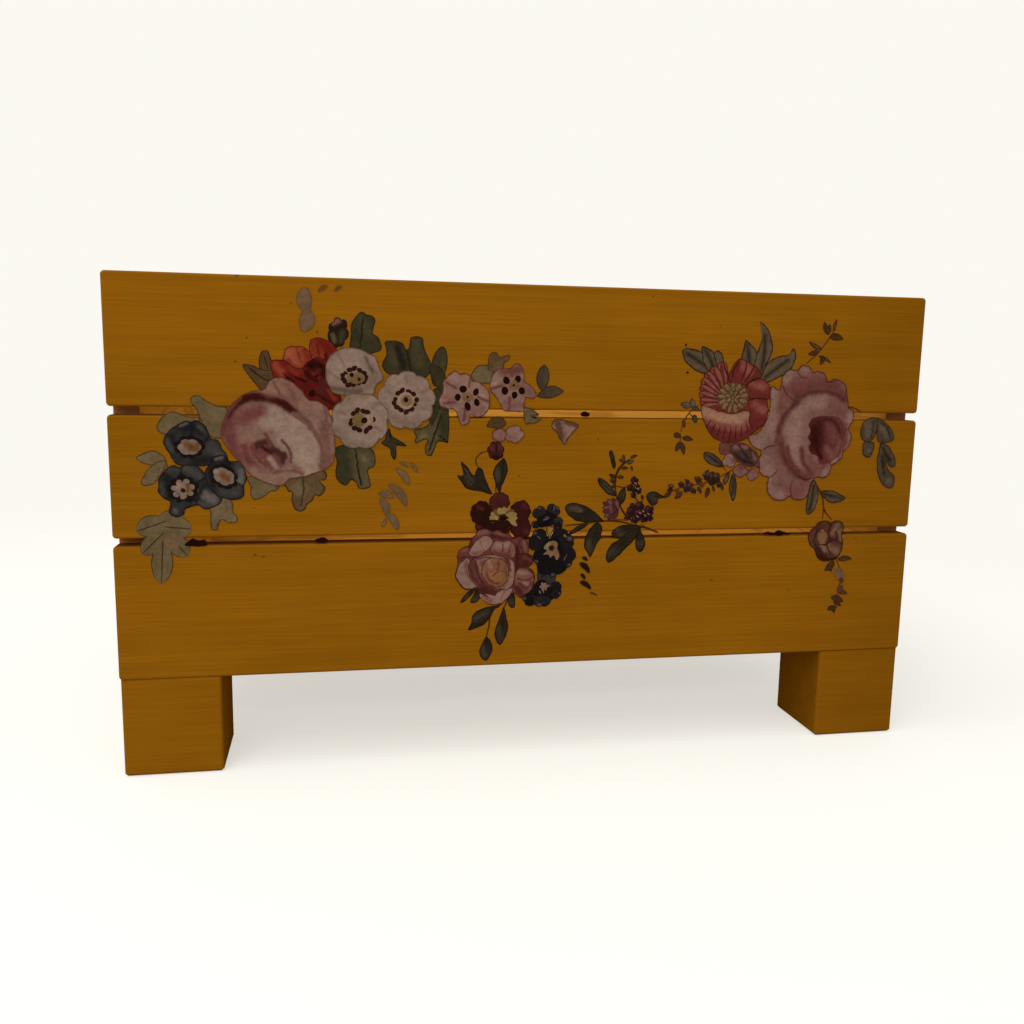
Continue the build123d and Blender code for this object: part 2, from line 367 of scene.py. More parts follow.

    # Grime and painted shade on the edges that face up in the gaps, darker to the left
    up_edge_shade = add(tree, "MapRange", {0: facing["Z"], 1: 0.3, 2: 0.95}, **SMOOTH)
    shade_stronger_left = add(tree, "MapRange", {0: x, 1: -0.05, 2: 0.06, 3: 0.95, 4: 0.55}, **SMOOTH)
    up_edge_shade = add(tree, "Math", {0: up_edge_shade, 1: shade_stronger_left}, operation="MULTIPLY")
    for level in GAPS:
        off = add(tree, "Math", {0: z, 1: level, 2: GAP_REACH}, operation="COMPARE")
        gap_shade_mask = add(tree, "Math", {0: off, 1: up_edge_shade}, operation="MULTIPLY")
        whole = add(tree, "Mix", {0: gap_shade_mask, 6: whole, 7: rgba(finish.gap_grime_and_shade)}, data_type="RGBA")

    # The end boards' front and back edges take a reddish brown in the gaps
    end_board_edges = 1.0
    for value, middle, reach in (
        (y, BACK_FACE - SLAT_THICKNESS, 0.3 * MM),
        (x, SLAT_END - END_BOARD_INSET, END_BOARD_REACH),
        (facing["Y"], 1, 0.1),
    ):
        distance = add(tree, "Math", {0: value}, operation="ABSOLUTE")
        near = add(tree, "Math", {0: distance, 1: middle, 2: reach}, operation="COMPARE")
        end_board_edges = add(tree, "Math", {0: near, 1: end_board_edges}, operation="MULTIPLY")
    whole = add(tree, "Mix", {0: end_board_edges, 6: whole, 7: rgba(finish.board_edge)}, data_type="RGBA")
    tree.links.new(whole.outputs[2], shader.inputs["Base Color"])

    satin = add(tree, "MapRange", {0: streaks, 1: 0.3, 2: 0.7, 3: 0.5, 4: 0.6})
    dry = add(tree, "MapRange", {0: fibres, 1: 0.3, 2: 0.7, 3: 0.62, 4: 0.74})
    sheen = add(tree, "Mix", {0: painted, 2: dry, 3: satin})
    tree.links.new(sheen.outputs[0], shader.inputs["Roughness"])
    relief = add(tree, "Bump", {"Height": streaks, "Strength": 0.25, "Distance": 0.06 * MM})
    tree.links.new(relief.outputs[0], shader.inputs["Normal"])
    return material


def bare_pine(finish):
    """Planed pine without finish, which is pale and dry, with ring lines and fibres along X."""
    material, tree, shader = new_material("Planed bare pine")
    place = add(tree, "TexCoord").outputs["Object"]
    wood, fibres = bare_wood(tree, place, "X", finish, finish.wood, finish.late_wood)
    tree.links.new(wood.outputs[0], shader.inputs["Base Color"])
    dry = add(tree, "MapRange", {0: fibres, 1: 0.3, 2: 0.7, 3: 0.6, 4: 0.74})
    tree.links.new(dry.outputs[0], shader.inputs["Roughness"])
    relief = add(tree, "Bump", {"Height": fibres, "Strength": 0.3, "Distance": 0.05 * MM})
    tree.links.new(relief.outputs[0], shader.inputs["Normal"])
    shader.inputs["Specular IOR Level"].default_value = 0.3
    return material


def metal(name, tone, axis, scratch, rough):
    """Bare or plated steel: a metal with fine marks along one axis that spread its shine."""
    material, tree, shader = new_material(name)
    place = add(tree, "TexCoord").outputs["Object"]
    marks = grained(tree, place, axis, 20 * scratch, scratch)
    shade = add(tree, "MapRange", {0: marks, 1: 0.3, 2: 0.7, 3: 0.86, 4: 1.0})
    tinted = add(tree, "VectorMath", {0: tone, "Scale": shade}, operation="SCALE")
    tree.links.new(tinted.outputs[0], shader.inputs["Base Color"])
    spread = add(tree, "MapRange", {0: marks, 1: 0.3, 2: 0.7, 3: rough - 0.08, 4: rough + 0.1})
    tree.links.new(spread.outputs[0], shader.inputs["Roughness"])
    shader.inputs["Metallic"].default_value = 1.0
    return material


PAPER = "Printed paper under satin varnish"


def printed_paper(paper):
    """Thin printed paper, glued on and varnished.

    Each shape carries its own ink, pen line and leaf grain in its mesh. The ink clouds and
    mottles as watercolour does, the pen line swells and thins, the fibres make a faint
    tooth, and the varnish gives a low satin sheen.
    """
    material, tree, shader = new_material(PAPER)
    place = add(tree, "TexCoord").outputs["Object"]
    ink = add(tree, "Attribute", attribute_name="ink").outputs["Color"]
    line = add(tree, "Attribute", attribute_name="line").outputs["Color"]
    pen = add(tree, "Attribute", attribute_name="pen").outputs["Fac"]
    leaf = add(tree, "Attribute", attribute_name="leaf_grain").outputs["Vector"]
    across, along, veined = add(tree, "SeparateXYZ", {0: leaf}).outputs

    wash = grained(tree, place, "X", paper.wash, paper.wash, 2.0)
    mottle = grained(tree, place, "X", paper.mottle, paper.mottle, 3.0)
    fibre = grained(tree, place, "X", 1.6 * paper.fibre, paper.fibre, 2.0)

    # A leaf is darker on one side of its midrib, and has a midrib and side veins
    out = add(tree, "Math", {0: across}, operation="ABSOLUTE")
    rib = add(tree, "MapRange", {0: out, 1: 0.16, 2: 0.04}, **SMOOTH)
    slant = add(tree, "Math", {0: out, 1: -5.0}, operation="MULTIPLY")
    slant = add(tree, "Math", {0: along, 1: 34.0, 2: slant}, operation="MULTIPLY_ADD")
    slant = add(tree, "Math", {0: slant}, operation="SINE")
    side_veins = add(tree, "MapRange", {0: slant, 1: 0.5, 2: 0.95, 4: 0.5}, **SMOOTH)
    veins = add(tree, "Math", {0: rib, 1: side_veins}, operation="MAXIMUM")
    veins = add(tree, "Math", {0: veins, 1: veined}, operation="MULTIPLY")
    veins = add(tree, "Math", {0: veins, 1: 0.5}, operation="MULTIPLY")
    shaded = add(tree, "MapRange", {0: across, 1: -0.1, 2: 0.15, 4: 0.3}, **SMOOTH)
    shaded = add(tree, "Math", {0: shaded, 1: veined}, operation="MULTIPLY")
    body = add(tree, "Mix", {0: shaded, 6: ink, 7: line}, data_type="RGBA")
    body = add(tree, "Mix", {0: veins, 6: body, 7: line}, data_type="RGBA")

    clouds = add(tree, "MapRange", {0: wash, 1: 0.3, 2: 0.7, 3: -0.12, 4: 0.12}, **SMOOTH)
    spots = add(tree, "MapRange", {0: mottle, 1: 0.3, 2: 0.7, 3: 0.88, 4: 1.12}, **SMOOTH)
    tooth = add(tree, "MapRange", {0: fibre, 1: 0.3, 2: 0.7, 3: -0.07, 4: 0.07}, **SMOOTH)
    clouds = add(tree, "Math", {0: clouds, 1: spots}, operation="ADD")
    clouds = add(tree, "Math", {0: clouds, 1: tooth}, operation="ADD")
    body = add(tree, "VectorMath", {0: body, "Scale": clouds}, operation="SCALE")

    wobble = add(tree, "MapRange", {0: mottle, 1: 0.3, 2: 0.7, 3: -0.35, 4: 0.35})
    wobble = add(tree, "Math", {0: pen, 1: wobble}, operation="ADD")
    drawn = add(tree, "MapRange", {0: wobble, 1: 1.25, 2: 0.75, 4: 0.85}, **SMOOTH)
    inked = add(tree, "Mix", {0: drawn, 6: body, 7: line}, data_type="RGBA")
    tree.links.new(inked.outputs[2], shader.inputs["Base Color"])
    shine = add(tree, "MapRange", {0: mottle, 1: 0.3, 2: 0.7, 3: paper.gloss - 0.05, 4: paper.gloss + 0.08})
    tree.links.new(shine.outputs[0], shader.inputs["Roughness"])
    relief = add(tree, "Bump", {"Height": fibre, "Strength": 0.2, "Distance": 0.03 * MM})
    tree.links.new(relief.outputs[0], shader.inputs["Normal"])
    shader.inputs["Specular IOR Level"].default_value = 0.02
    return material


def smoothly(points, spacing, closed):
    """A smooth curve through given points, as an array of places about a spacing apart."""
    knots = list(points)
    if len(knots) == 1:
        return points
    if closed:
        knots = [knots[-1], *knots, knots[0], knots[1]]
    else:
        knots = [2 * knots[0] - knots[1], *knots, 2 * knots[-1] - knots[-2]]
    curve = []
    for before, start, end, after in zip(knots, knots[1:], knots[2:], knots[3:]):
        steps = max(2, math.ceil(np.linalg.norm(end - start) / spacing))
        for t in np.arange(steps) / steps:
            curve.append(
                0.5 * (2 * start + (end - before) * t + (2 * before - 5 * start + 4 * end - after) * t * t
                       + (3 * start - before - 3 * end + after) * t ** 3)
            )
    if not closed:
        curve.append(knots[-2])
    return np.array(curve)


def ease(low, high, value):
    """0 below low and 1 above high, with a smooth step between them."""
    t = np.clip((value - low) / (high - low), 0, 1)
    return t * t * (3 - 2 * t)


def turned(points, centre, degrees):
    """Points turned about a centre."""
    c, s = math.cos(math.radians(degrees)), math.sin(math.radians(degrees))
    out = np.asarray(points, float) - centre
    return np.stack([out[:, 0] * c - out[:, 1] * s, out[:, 0] * s + out[:, 1] * c], 1) + centre


def shaky(places, reach, grain, seed=0.0):
    """Small wandering offsets, so that printed edges are never quite true."""
    return np.array(
        [noise.noise_vector(Vector((x / grain, z / grain, seed)))[:2] for x, z in places]
    ) * reach


class Sheet:
    """One group of paper cut-outs, drawn shape by shape, each a little above the last."""

    def __init__(self, name, lift, context, middle=(0, 0)):
        self.name = name
        self.middle = middle
        noise.seed_set(NOISE_SEED)
        self.height = lift * MM
        self.paper = context.scene.keepsake_paper
        self.inks = context.scene.keepsake_inks
        self.bm = bmesh.new()
        layers = self.bm.verts.layers
        self.ink = layers.float_color.new("ink")
        self.line = layers.float_color.new("line")
        self.pen = layers.float.new("pen")
        self.grain = layers.float_vector.new("leaf_grain")

    def at(self, numbers):
        """Places on the front, from x and z in turn as counted from the group's middle."""
        return np.round(np.reshape(numbers, (-1, 2)) + self.middle, 9)

    def disc(self, segments, rings):
        """A disc of rings round a middle point. Gives each point, its turn and its share of the way in."""
        rim = bmesh.ops.create_circle(self.bm, cap_ends=True, segments=segments, radius=1)["verts"]
        face = rim[0].link_faces[0]
        face.normal_update()
        points = [(vert, 0.0) for vert in rim]
        for ring in range(1, rings):
            bmesh.ops.inset_individual(self.bm, faces=[face], thickness=0.9 / rings, use_even_offset=True)
            points += [(vert, ring / rings) for vert in face.verts]
        turns = [math.atan2(-vert.co.x, vert.co.y) / math.tau % 1 for vert, share in points]
        points.append((bmesh.ops.poke(self.bm, faces=[face])["verts"][0], 1.0))
        verts, shares = zip(*points)
        return verts, np.array(turns + [0.0]), np.array(shares)

    def tone(self, ink):
        """A printing ink's colour."""
        return np.array(getattr(self.inks, ink), float)

    def lay(self, verts, places, inks, line, pens, grain=None):
        """Puts a shape's points on the front and gives them their inks."""
        self.height += self.paper.step
        line = self.tone(line)
        for i, vert in enumerate(verts):
            vert.co = (places[i][0] * MM, FRONT_FACE - self.height, places[i][1] * MM)
            vert[self.ink] = (*inks[i], 1.0)
            vert[self.line] = (*line, 1.0)
            vert[self.pen] = pens[i]
            if grain is not None:
                vert[self.grain] = grain[i]

    def fill(self, outline, ink, heart=None, line=None, pen=0.4, strokes=(), step=0.5, shake=0.25):
        """A shape inside a closed outline, with a pen line round it and brush strokes on it.

        A stroke is its ink, its width, how soft its edge is, and the places that it runs through.
        """
        following = np.roll(outline, -1, 0)
        if np.sum(outline[:, 0] * following[:, 1] - following[:, 0] * outline[:, 1]) < 0:
            outline = outline[::-1]
        heart = outline.mean(0) if heart is None else heart
        outline = outline + shaky(outline, shake, EDGE_GRAIN)
        ahead = np.roll(outline, -1, 0) - np.roll(outline, 1, 0)
        inward = np.stack([-ahead[:, 1], ahead[:, 0]], 1) / np.linalg.norm(ahead, axis=1)[:, None]
        border = PEN_EDGE * pen if line else BARE_BORDER
        inner = outline + inward * border
        rings = 2
        if strokes:
            rings += math.ceil(np.linalg.norm(inner - heart, axis=1).mean() / step)
        verts, turns, shares = self.disc(len(outline), rings)
        index = np.round(turns * len(outline)).astype(int) % len(outline)
        first = 1 / rings
        inside = np.clip((shares - first) / (1 - first), 0, 1)[:, None]
        within = inner[index] + inside * (heart - inner[index])
        places = np.where((shares == 0)[:, None], outline[index], within)
        pens = np.full(len(verts), NO_PEN)
        if line:
            pens = np.where(shares == 0, 0, np.where(shares < 1.5 * first, PEN_EDGE, NO_PEN))
        inks = np.tile(self.tone(ink), (len(verts), 1))
        if strokes:
            warped = places + shaky(places, STROKE_SHAKE, STROKE_GRAIN, STROKE_SEED)
            for stroke_ink, width, soft, *points in strokes:
                away = np.full(len(places), np.inf)
                for spot in smoothly(self.at(points), STROKE_STEP, False):
                    away = np.minimum(away, np.hypot(*(warped - spot).T))
                cover = 1 - ease(width / 2 * (1 - soft), width / 2 * (1 + soft), away)
                inks += cover[:, None] * (self.tone(stroke_ink) - inks)
        self.lay(verts, places, inks, line or ink, pens)

    def shape(self, points, ink, heart=None, **settings):
        """A shape whose outline runs smoothly through given points."""
        heart = None if heart is None else self.at(heart)[0]
        self.fill(smoothly(self.at(points), CURVE_STEP, True), ink, heart=heart, **settings)

    def bloom(self, centre, radii, ink, turn=0, lobes=0, depth=0, **settings):
        """A round or oval shape, plain or with a number of rounded lobes."""
        centre = self.at(centre)[0]
        radii = (radii, radii) if isinstance(radii, (int, float)) else radii
        count = max(12, int(2.2 * math.pi * max(radii)), 8 * lobes)
        angles = np.arange(count) / count * math.tau
        reach = 1 - depth * (1 - np.abs(np.cos(lobes * angles / 2)) ** 0.6) if lobes else np.ones(count)
        outline = np.stack([np.cos(angles) * reach * radii[0], np.sin(angles) * reach * radii[1]], 1)
        self.fill(turned(outline + centre, centre, turn), ink, heart=centre, **settings)

    def blade(self, points, width, ink, line=None, pen=0.35, tip=0.9, widest=0.8, veins=0, bend=0):
        """A leaf, petal, dash or stem along a spine. A low tip makes its ends blunt."""
        points = self.at(points)
        if bend:
            (x0, z0), (x1, z1) = points
            middle = ((x0 + x1) / 2 - bend * (z1 - z0), (z0 + z1) / 2 + bend * (x1 - x0))
            points = np.array([points[0], middle, points[1]])
        spine = smoothly(points, SPINE_STEP, False)
        steps = np.linalg.norm(np.diff(spine, axis=0), axis=1)
        reached = np.concatenate([[0], np.cumsum(steps)]) / steps.sum()
        segments = int(np.clip(4 * round(steps.sum() / 1.6), 12, 64))
        verts, turns, shares = self.disc(segments, BLADE_RINGS)
        u = np.cos(turns * math.tau) * (1 - shares)
        v = np.sin(turns * math.tau) * (1 - shares)
        along = (u + 1) / 2
        across = v / np.sqrt(np.maximum(1 - u * u, 1e-6))
        half = width / 2 * np.sin(math.pi * np.clip(along, 0, 1) ** widest) ** tip
        before, middle, after = (
            np.stack([np.interp(np.clip(along + d, 0, 1), reached, spine[:, i]) for i in (0, 1)], 1)
            for d in (-0.04, 0, 0.04)
        )
        ahead = after - before
        left = np.stack([-ahead[:, 1], ahead[:, 0]], 1) / np.linalg.norm(ahead, axis=1)[:, None]
        places = middle + left * (across * half)[:, None]
        pens = np.full(len(verts), NO_PEN)
        if line:
            pens = np.minimum((1 - np.abs(across)) * half, (1 - np.abs(u)) * steps.sum() / 2) / pen
        inks = np.tile(self.tone(ink), (len(verts), 1))
        grain = np.stack([across, along, np.full(len(verts), veins)], 1)
        self.lay(verts, places, inks, line or ink, pens, grain)

    def done(self):
        """Makes the finished piece: closed slabs of paper that ride on the box."""
        mesh = bpy.data.meshes.new(self.name)
        self.bm.to_mesh(mesh)
        self.bm.free()
        piece = bpy.data.objects.new(self.name, mesh)
        bpy.context.scene.collection.objects.link(piece)
        slab = piece.modifiers.new("paper thickness", "SOLIDIFY")
        slab.thickness = self.paper.thickness
        slab.offset = -1.0
        mesh.materials.append(bpy.data.materials.get(PAPER) or printed_paper(self.paper))
        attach(piece, "root")


def paper_piece(draw, lift, context, middle=(0, 0)):
    """Draws one group of cut-outs and names the piece as its drawing is named."""
    sheet = Sheet(draw.__name__, lift, context, middle)
    draw(sheet)
    sheet.done()
    return {"FINISHED"}


def left_leaves(sheet):
    """The leaves, buds and snippets of the left spray."""
    # Grey-green leaves round the blue flowers
    for points, heart, ink in (
        ((-33, 14, -30.5, 15, -27.5, 13.2, -24, 11.5, -21, 11, -20.5, 7, -22, 1, -26, 0.5, -28.5, 4, -30, 7,
         -31, 10, -32.5, 12), (-26.5, 8), "sage"),
        ((-44, 3, -43.8, 5.5, -42, 7.8, -39.5, 9.4, -37, 9, -34, 7.8, -30, 7.5, -31, 4, -36, 2, -41, 1.5),
         (-37, 5.5), "sage"),
        ((-41, -10, -42, -5.8, -44.6, -4, -47.6, -4.2, -51, -6, -50.4, -7.4, -47, -8.8, -44, -10),
         (-45.4, -7), "sage_pale"),
        ((-41.4, -7.4, -44, -7.6, -46.4, -9, -48.5, -11.5, -50, -14.5, -49, -15.8, -46, -15.5, -44, -13,
         -42.5, -11), (-45, -11.4), "sage_pale"),
        ((-28.3, -22.5, -27.5, -19, -22, -19, -19.8, -22, -19.8, -25, -18.5, -27.2, -19, -28.8, -21.5, -29,
         -24, -28, -24.8, -30, -25.3, -31.5, -27.3, -31.3, -27.8, -29, -27.5, -26), (-24, -24),
         "sage_pale"),
        ((-15, -13, -14, -16.5, -14, -19.5, -12.5, -21, -9.5, -20, -7.5, -18.2, -5.5, -18, -4, -16, -6, -14,
         -10, -12.5), (-10, -16), "sage"),
    ):
        sheet.shape(points, ink, heart=heart, line="sage_line")

    # The big lobed leaf below them: the lobes' outlines first, so that only the outer edge is drawn
    lobes = (((-42, -28), (-52, -31.5), 7), ((-43, -32), (-50.5, -39.5), 6),
        ((-43.5, -34.5), (-44.5, -50), 6.6), ((-42, -32.5), (-35.5, -40.5), 6.2),
        ((-43, -30), (-33.8, -31), 7.2), ((-46, -29), (-36, -29), 9), ((-42.5, -25), (-43, -38), 8.5))
    for grown, ink in ((0.7, "sage_line"), (0, "sage")):
        for base, end, width in lobes:
            sheet.blade([base, end], width + grown, ink, tip=0.55, widest=1.1)
    for base, end, width in lobes[:5]:
        sheet.blade([base, end], 0.5, "sage_line", tip=0.3)
    sheet.bloom((-40.5, -35), (2.4, 3.2), "leaf_blush", turn=30)

    # Leaves under the rose and the white flowers
    sheet.shape((-3.5, -15, -2, -16.5, -1, -18.2, 0, -18.2, 0, -21.5, 0.7, -24, 2.5, -25.2, 4.5, -24.5,
        5.2, -22.8, 7, -21.5, 8, -19.5, 9.2, -20, 11, -18.5, 11.5, -16.5, 9.7, -14.5, 11.5, -14, 12, -12,
        10, -10.5, 4, -12, -1, -13), "moss", heart=(4, -17), line="ivy_line",
        strokes=[("sage_pale", 4.5, 0.8, 2.7, -17), ("ivy", 0.7, 0.5, 4, -12, 4, -18, 3, -23)])
    sheet.shape((15, -3, 15.5, -7.5, 15, -11, 15.7, -14, 18, -16, 19.5, -15.5, 20.5, -14.2, 22, -15,
        23, -17, 25, -17.5, 27.2, -16.7, 27, -14, 26.5, -10.7, 28.7, -9.2, 29.2, -6.5, 28, -3.5, 24, -1.5,
        19, -1.5), "ivy_pale", heart=(22, -9), line="ivy_line", strokes=[("ivy", 7, 0.6, 17, -3, 18, -14),
        ("ivy_line", 0.7, 0.5, 22, -3, 23, -10, 24, -16), ("sage", 2.5, 0.9, 25.5, -7)])
    sheet.shape((34, 4, 35, 1.5, 37.5, 0, 40, -2, 38.5, -2.2, 36.5, -2, 36.5, -4.5, 36, -7, 34.5, -5.5,
        34, -3, 31.2, -1.2, 32.5, 0.5, 33, 2.5), "ivy", heart=(35, -1.2), line="ivy_line")
    sheet.shape((52.5, 12, 55, 11.5, 55, 0, 54, -0.7, 51, -0.7, 50, -3, 49, -5.5, 47, -5, 46.5, -3,
        47.5, -0.2, 46, 0, 43.5, -1, 42.7, -0.5, 43.2, 1.5, 42.7, 3.5, 46, 4.5, 48, 6, 50, 9), "ivy_pale",
        heart=(50, 3), line="ivy_line", strokes=[("ivy", 4, 0.6, 53.5, 11, 53.5, 0),
        ("ivy_line", 0.7, 0.5, 52.5, 9, 50, 2, 48, -4), ("sage", 2.5, 0.9, 46, 1.5)])
    sheet.blade((52, 19, 49.5, 13, 49, 5), 5.5, "ivy", line="ivy_line", veins=0.7)

    # Dark leaves above the white flowers
    dark = (31.5, 26, 33, 30, 32.5, 34, 35, 34.7, 38.5, 34, 39.5, 32, 40.5, 31.8, 41.2, 34, 41.7, 36,
        45.3, 36, 46.2, 33, 47, 30.5, 48.5, 27, 48, 23, 45, 22, 40, 23.5, 34, 23)
    sheet.shape(dark, "ivy", heart=(42, 27), line="ivy_line", strokes=[("ivy_line", 3, 0.8, 36.5, 32,
        39, 26), ("ivy_mid", 3.4, 0.8, 43.2, 34, 44, 27), ("ivy_line", 0.8, 0.5, 40.2, 31, 41.5, 25),
        ("ivy_mid", 2.4, 0.8, 34.5, 32, 36, 27)])
    sheet.blade((50, 19, 51.4, 26, 52.8, 33), 5.6, "ivy_mid", line="ivy_line", tip=0.5, widest=1.1,
        veins=0.8)
    sheet.blade((48.5, 27, 51.5, 22, 53.2, 16), 5, "ivy", line="ivy_line", veins=0.5)
    sheet.shape((20.5, 31, 20.7, 36, 21, 40, 22.5, 42.5, 24.5, 44.3, 26.2, 43.2, 28, 43, 29.2, 41.5,
        28.7, 39, 28.2, 37, 30, 36, 31, 34, 31.2, 31.5, 28, 30, 24, 30), "ivy", heart=(25, 36),
        line="ivy_line", strokes=[("ivy_mid", 3, 0.8, 24.5, 42, 27, 36), ("ivy_line", 0.7, 0.5, 25, 42,
        24, 32)])
    sheet.bloom((16.4, 36.9), (3.6, 5.2), "bud", turn=-8, lobes=7, depth=0.14, shake=0.5, line="shadow",
        strokes=[("lilac_deep", 1.8, 0.9, 15, 40.4, 16.8, 41), ("ivy_pale", 1.4, 0.9, 14.6, 36, 15.4, 34),
        ("ivy", 2, 0.9, 18, 37, 17.6, 34)])
    sheet.blade((18, 32, 19, 29), 1.4, "ivy", tip=0.5)

    # Small leaves at the left of the coral flower
    sheet.shape((-15.5, 25.3, -12.5, 25.3, -10, 24.5, -6, 24, -5, 21, -6, 18.5, -9, 17, -10.5, 18, -13, 21),
        "olive", heart=(-9.5, 21.3), line="olive_line")
    sheet.shape((-9.8, 24, -9.8, 29, -8.7, 30.3, -6.8, 30, -6, 27.5, -5.3, 24), "olive", heart=(-7.8, 26),
        line="olive_line")
    sheet.blade((-13.5, 24.6, -9, 21, -6, 20), 0.6, "olive_line", tip=0.3)
    sheet.blade((-8.5, 29, -7, 24), 0.5, "olive_line", tip=0.3)

    # The loose snippet at the top, and the pale grey sprig at the lower right
    for base, end, width, ink in (
        ((6.2, 43.4), (6, 52), 5.4, "buff"), ((6.2, 45), (4.6, 37), 5.6, "buff"),
        ((10, 50.3), (13.2, 52.6), 1.7, "dab"), ((15.4, 50.8), (18.2, 52.6), 1.3, "dab"),
        ((33.6, -15.6), (40.2, -23.8), 3.2, "buff"), ((36.2, -10), (41, -16.2), 2.6, "buff"),
        ((37.4, -8), (40.6, -9.6), 1.5, "buff"), ((41, -8.2), (44, -11.6), 1.6, "buff"),
        ((30, -19), (35.6, -20.6), 2.8, "buff"), ((30.6, -20.4), (33.2, -27.6), 3, "buff"),
        ((32.6, -25.8), (37, -32.4), 3, "buff"), ((32.8, -28), (31, -31), 1.6, "buff"),
    ):
        sheet.blade([base, end], width, ink, line="buff_line", tip=0.6, widest=1, bend=0.1)

    # Dark patches laid across the lower gap
    sheet.shape((-36.2, -36.6, -35.4, -35, -33.4, -34.2, -31.4, -35.1, -29.6, -34.8, -29, -36.5,
        -32, -37.1), "dot", shake=0.5)
    sheet.shape((7.6, -35.8, 9, -34.8, 11, -34.6, 12.4, -35.8, 10, -36.6), "dot", shake=0.4)


class KEEPSAKE_OT_left_leaves(bpy.types.Operator):
    """Lay the leaves of the left spray"""

    bl_idname = "keepsake.left_leaves"
    bl_label = "Left spray: leaves"

    def execute(self, context):
        return paper_piece(left_leaves, 0.03, context, (-90, 120))


def coral_flower(sheet):
    """A coral flower: its petals, then its seeds."""
    for points, ink, strokes in (
        ((-10.3, 0, -9.8, 5, -8.5, 6.6, -5.5, 7, -2.5, 6.5, -1, 5, 0.5, 2, -1, -2, -7, -2), "salmon",
         [("brick", 2.4, 0.9, -2.6, 5.6, -0.6, 1.6), ("scarlet", 2, 0.9, -8, -0.4, -4, -1),
         ("salmon_pale", 3, 0.9, -8, 4.6, -6, 1.6), ("scarlet", 0.5, 0.8, -5.4, 6.4, -4.4, 2),
         ("scarlet", 0.5, 0.8, -8.6, 2.6, -5.6, 0.4)]),
        ((-1, 4, -1, 8.5, 0.5, 10, 3.5, 9.9, 6.5, 8.2, 8, 5, 6, 1, 2, 0), "brick",
         [("scarlet", 3, 0.8, 3, 8.5, 6, 6), ("salmon_dark", 3, 0.9, 0.6, 6, 3, 2.6),
         ("ruby", 0.6, 0.8, 1.4, 8, 2.2, 3), ("maroon", 1, 0.9, 4.4, 5, 4.4, 2)]),
        ((-14.3, 1.5, -11.5, 2.5, -9, 2.2, -6, 0, -2, -1, 1, -5, 0, -11.5, -3, -10, -7, -6.5, -11.5, -5.2,
         -13.8, -2.5), "scarlet", [("salmon", 2.6, 0.9, -12.6, 0.4, -10.4, -2.6), ("ruby", 4, 0.9, -7, -3,
         -2, -7), ("brick", 1.8, 0.9, -8.6, 0, -5.6, -2), ("black_red", 0.8, 0.8, -6, -3.5, -2.5, -5),
         ("black_red", 0.6, 0.8, -10, -2.4, -6.6, -5)]),
        ((-3.5, 0, 0, 3, 3.5, 3, 6, 0, 6, -4, 8, -7.5, 9.5, -10.5, 8, -13.5, 5.5, -14.8, 3, -13.5, 0, -13.3,
         -1.5, -10, -1.5, -6, -3, -3), "ruby", [("maroon", 4.4, 0.7, 0, 1, 4, -2),
         ("maroon", 2, 0.8, -2.5, -2, 2, -5, 6, -9), ("scarlet", 1.2, 0.9, -0.4, -2, 2, -3.4),
         ("magenta", 1.8, 0.8, 1.6, -1.2), ("magenta", 3, 0.8, 3.5, -5.4, 2.5, -9.5),
         ("scarlet", 1.4, 0.9, 1, 4, 4.5, 2), ("brick", 1.4, 0.9, 5, -8, 7.4, -11),
         ("maroon", 1, 0.8, 1.4, -9.4, 5, -11.6, 8, -13)]),
    ):
        sheet.shape(points, ink, line="coral_line", pen=0.3, strokes=strokes, shake=0.4)
    for place, size in (
        ((-0.6, 0.5), 0.9), ((2.3, 0.5), 0.8), ((-0.5, -9), 1.2), ((1, -3), 0.6), ((4.6, -2.4), 0.7),
    ):
        sheet.bloom(place, size, "black_red", shake=0.3)


class KEEPSAKE_OT_coral_flower(bpy.types.Operator):
    """Lay the coral red flower behind the rose"""

    bl_idname = "keepsake.coral_flower"
    bl_label = "Left spray: coral flower"

    def execute(self, context):
        return paper_piece(coral_flower, 0.2, context, (-82, 145))


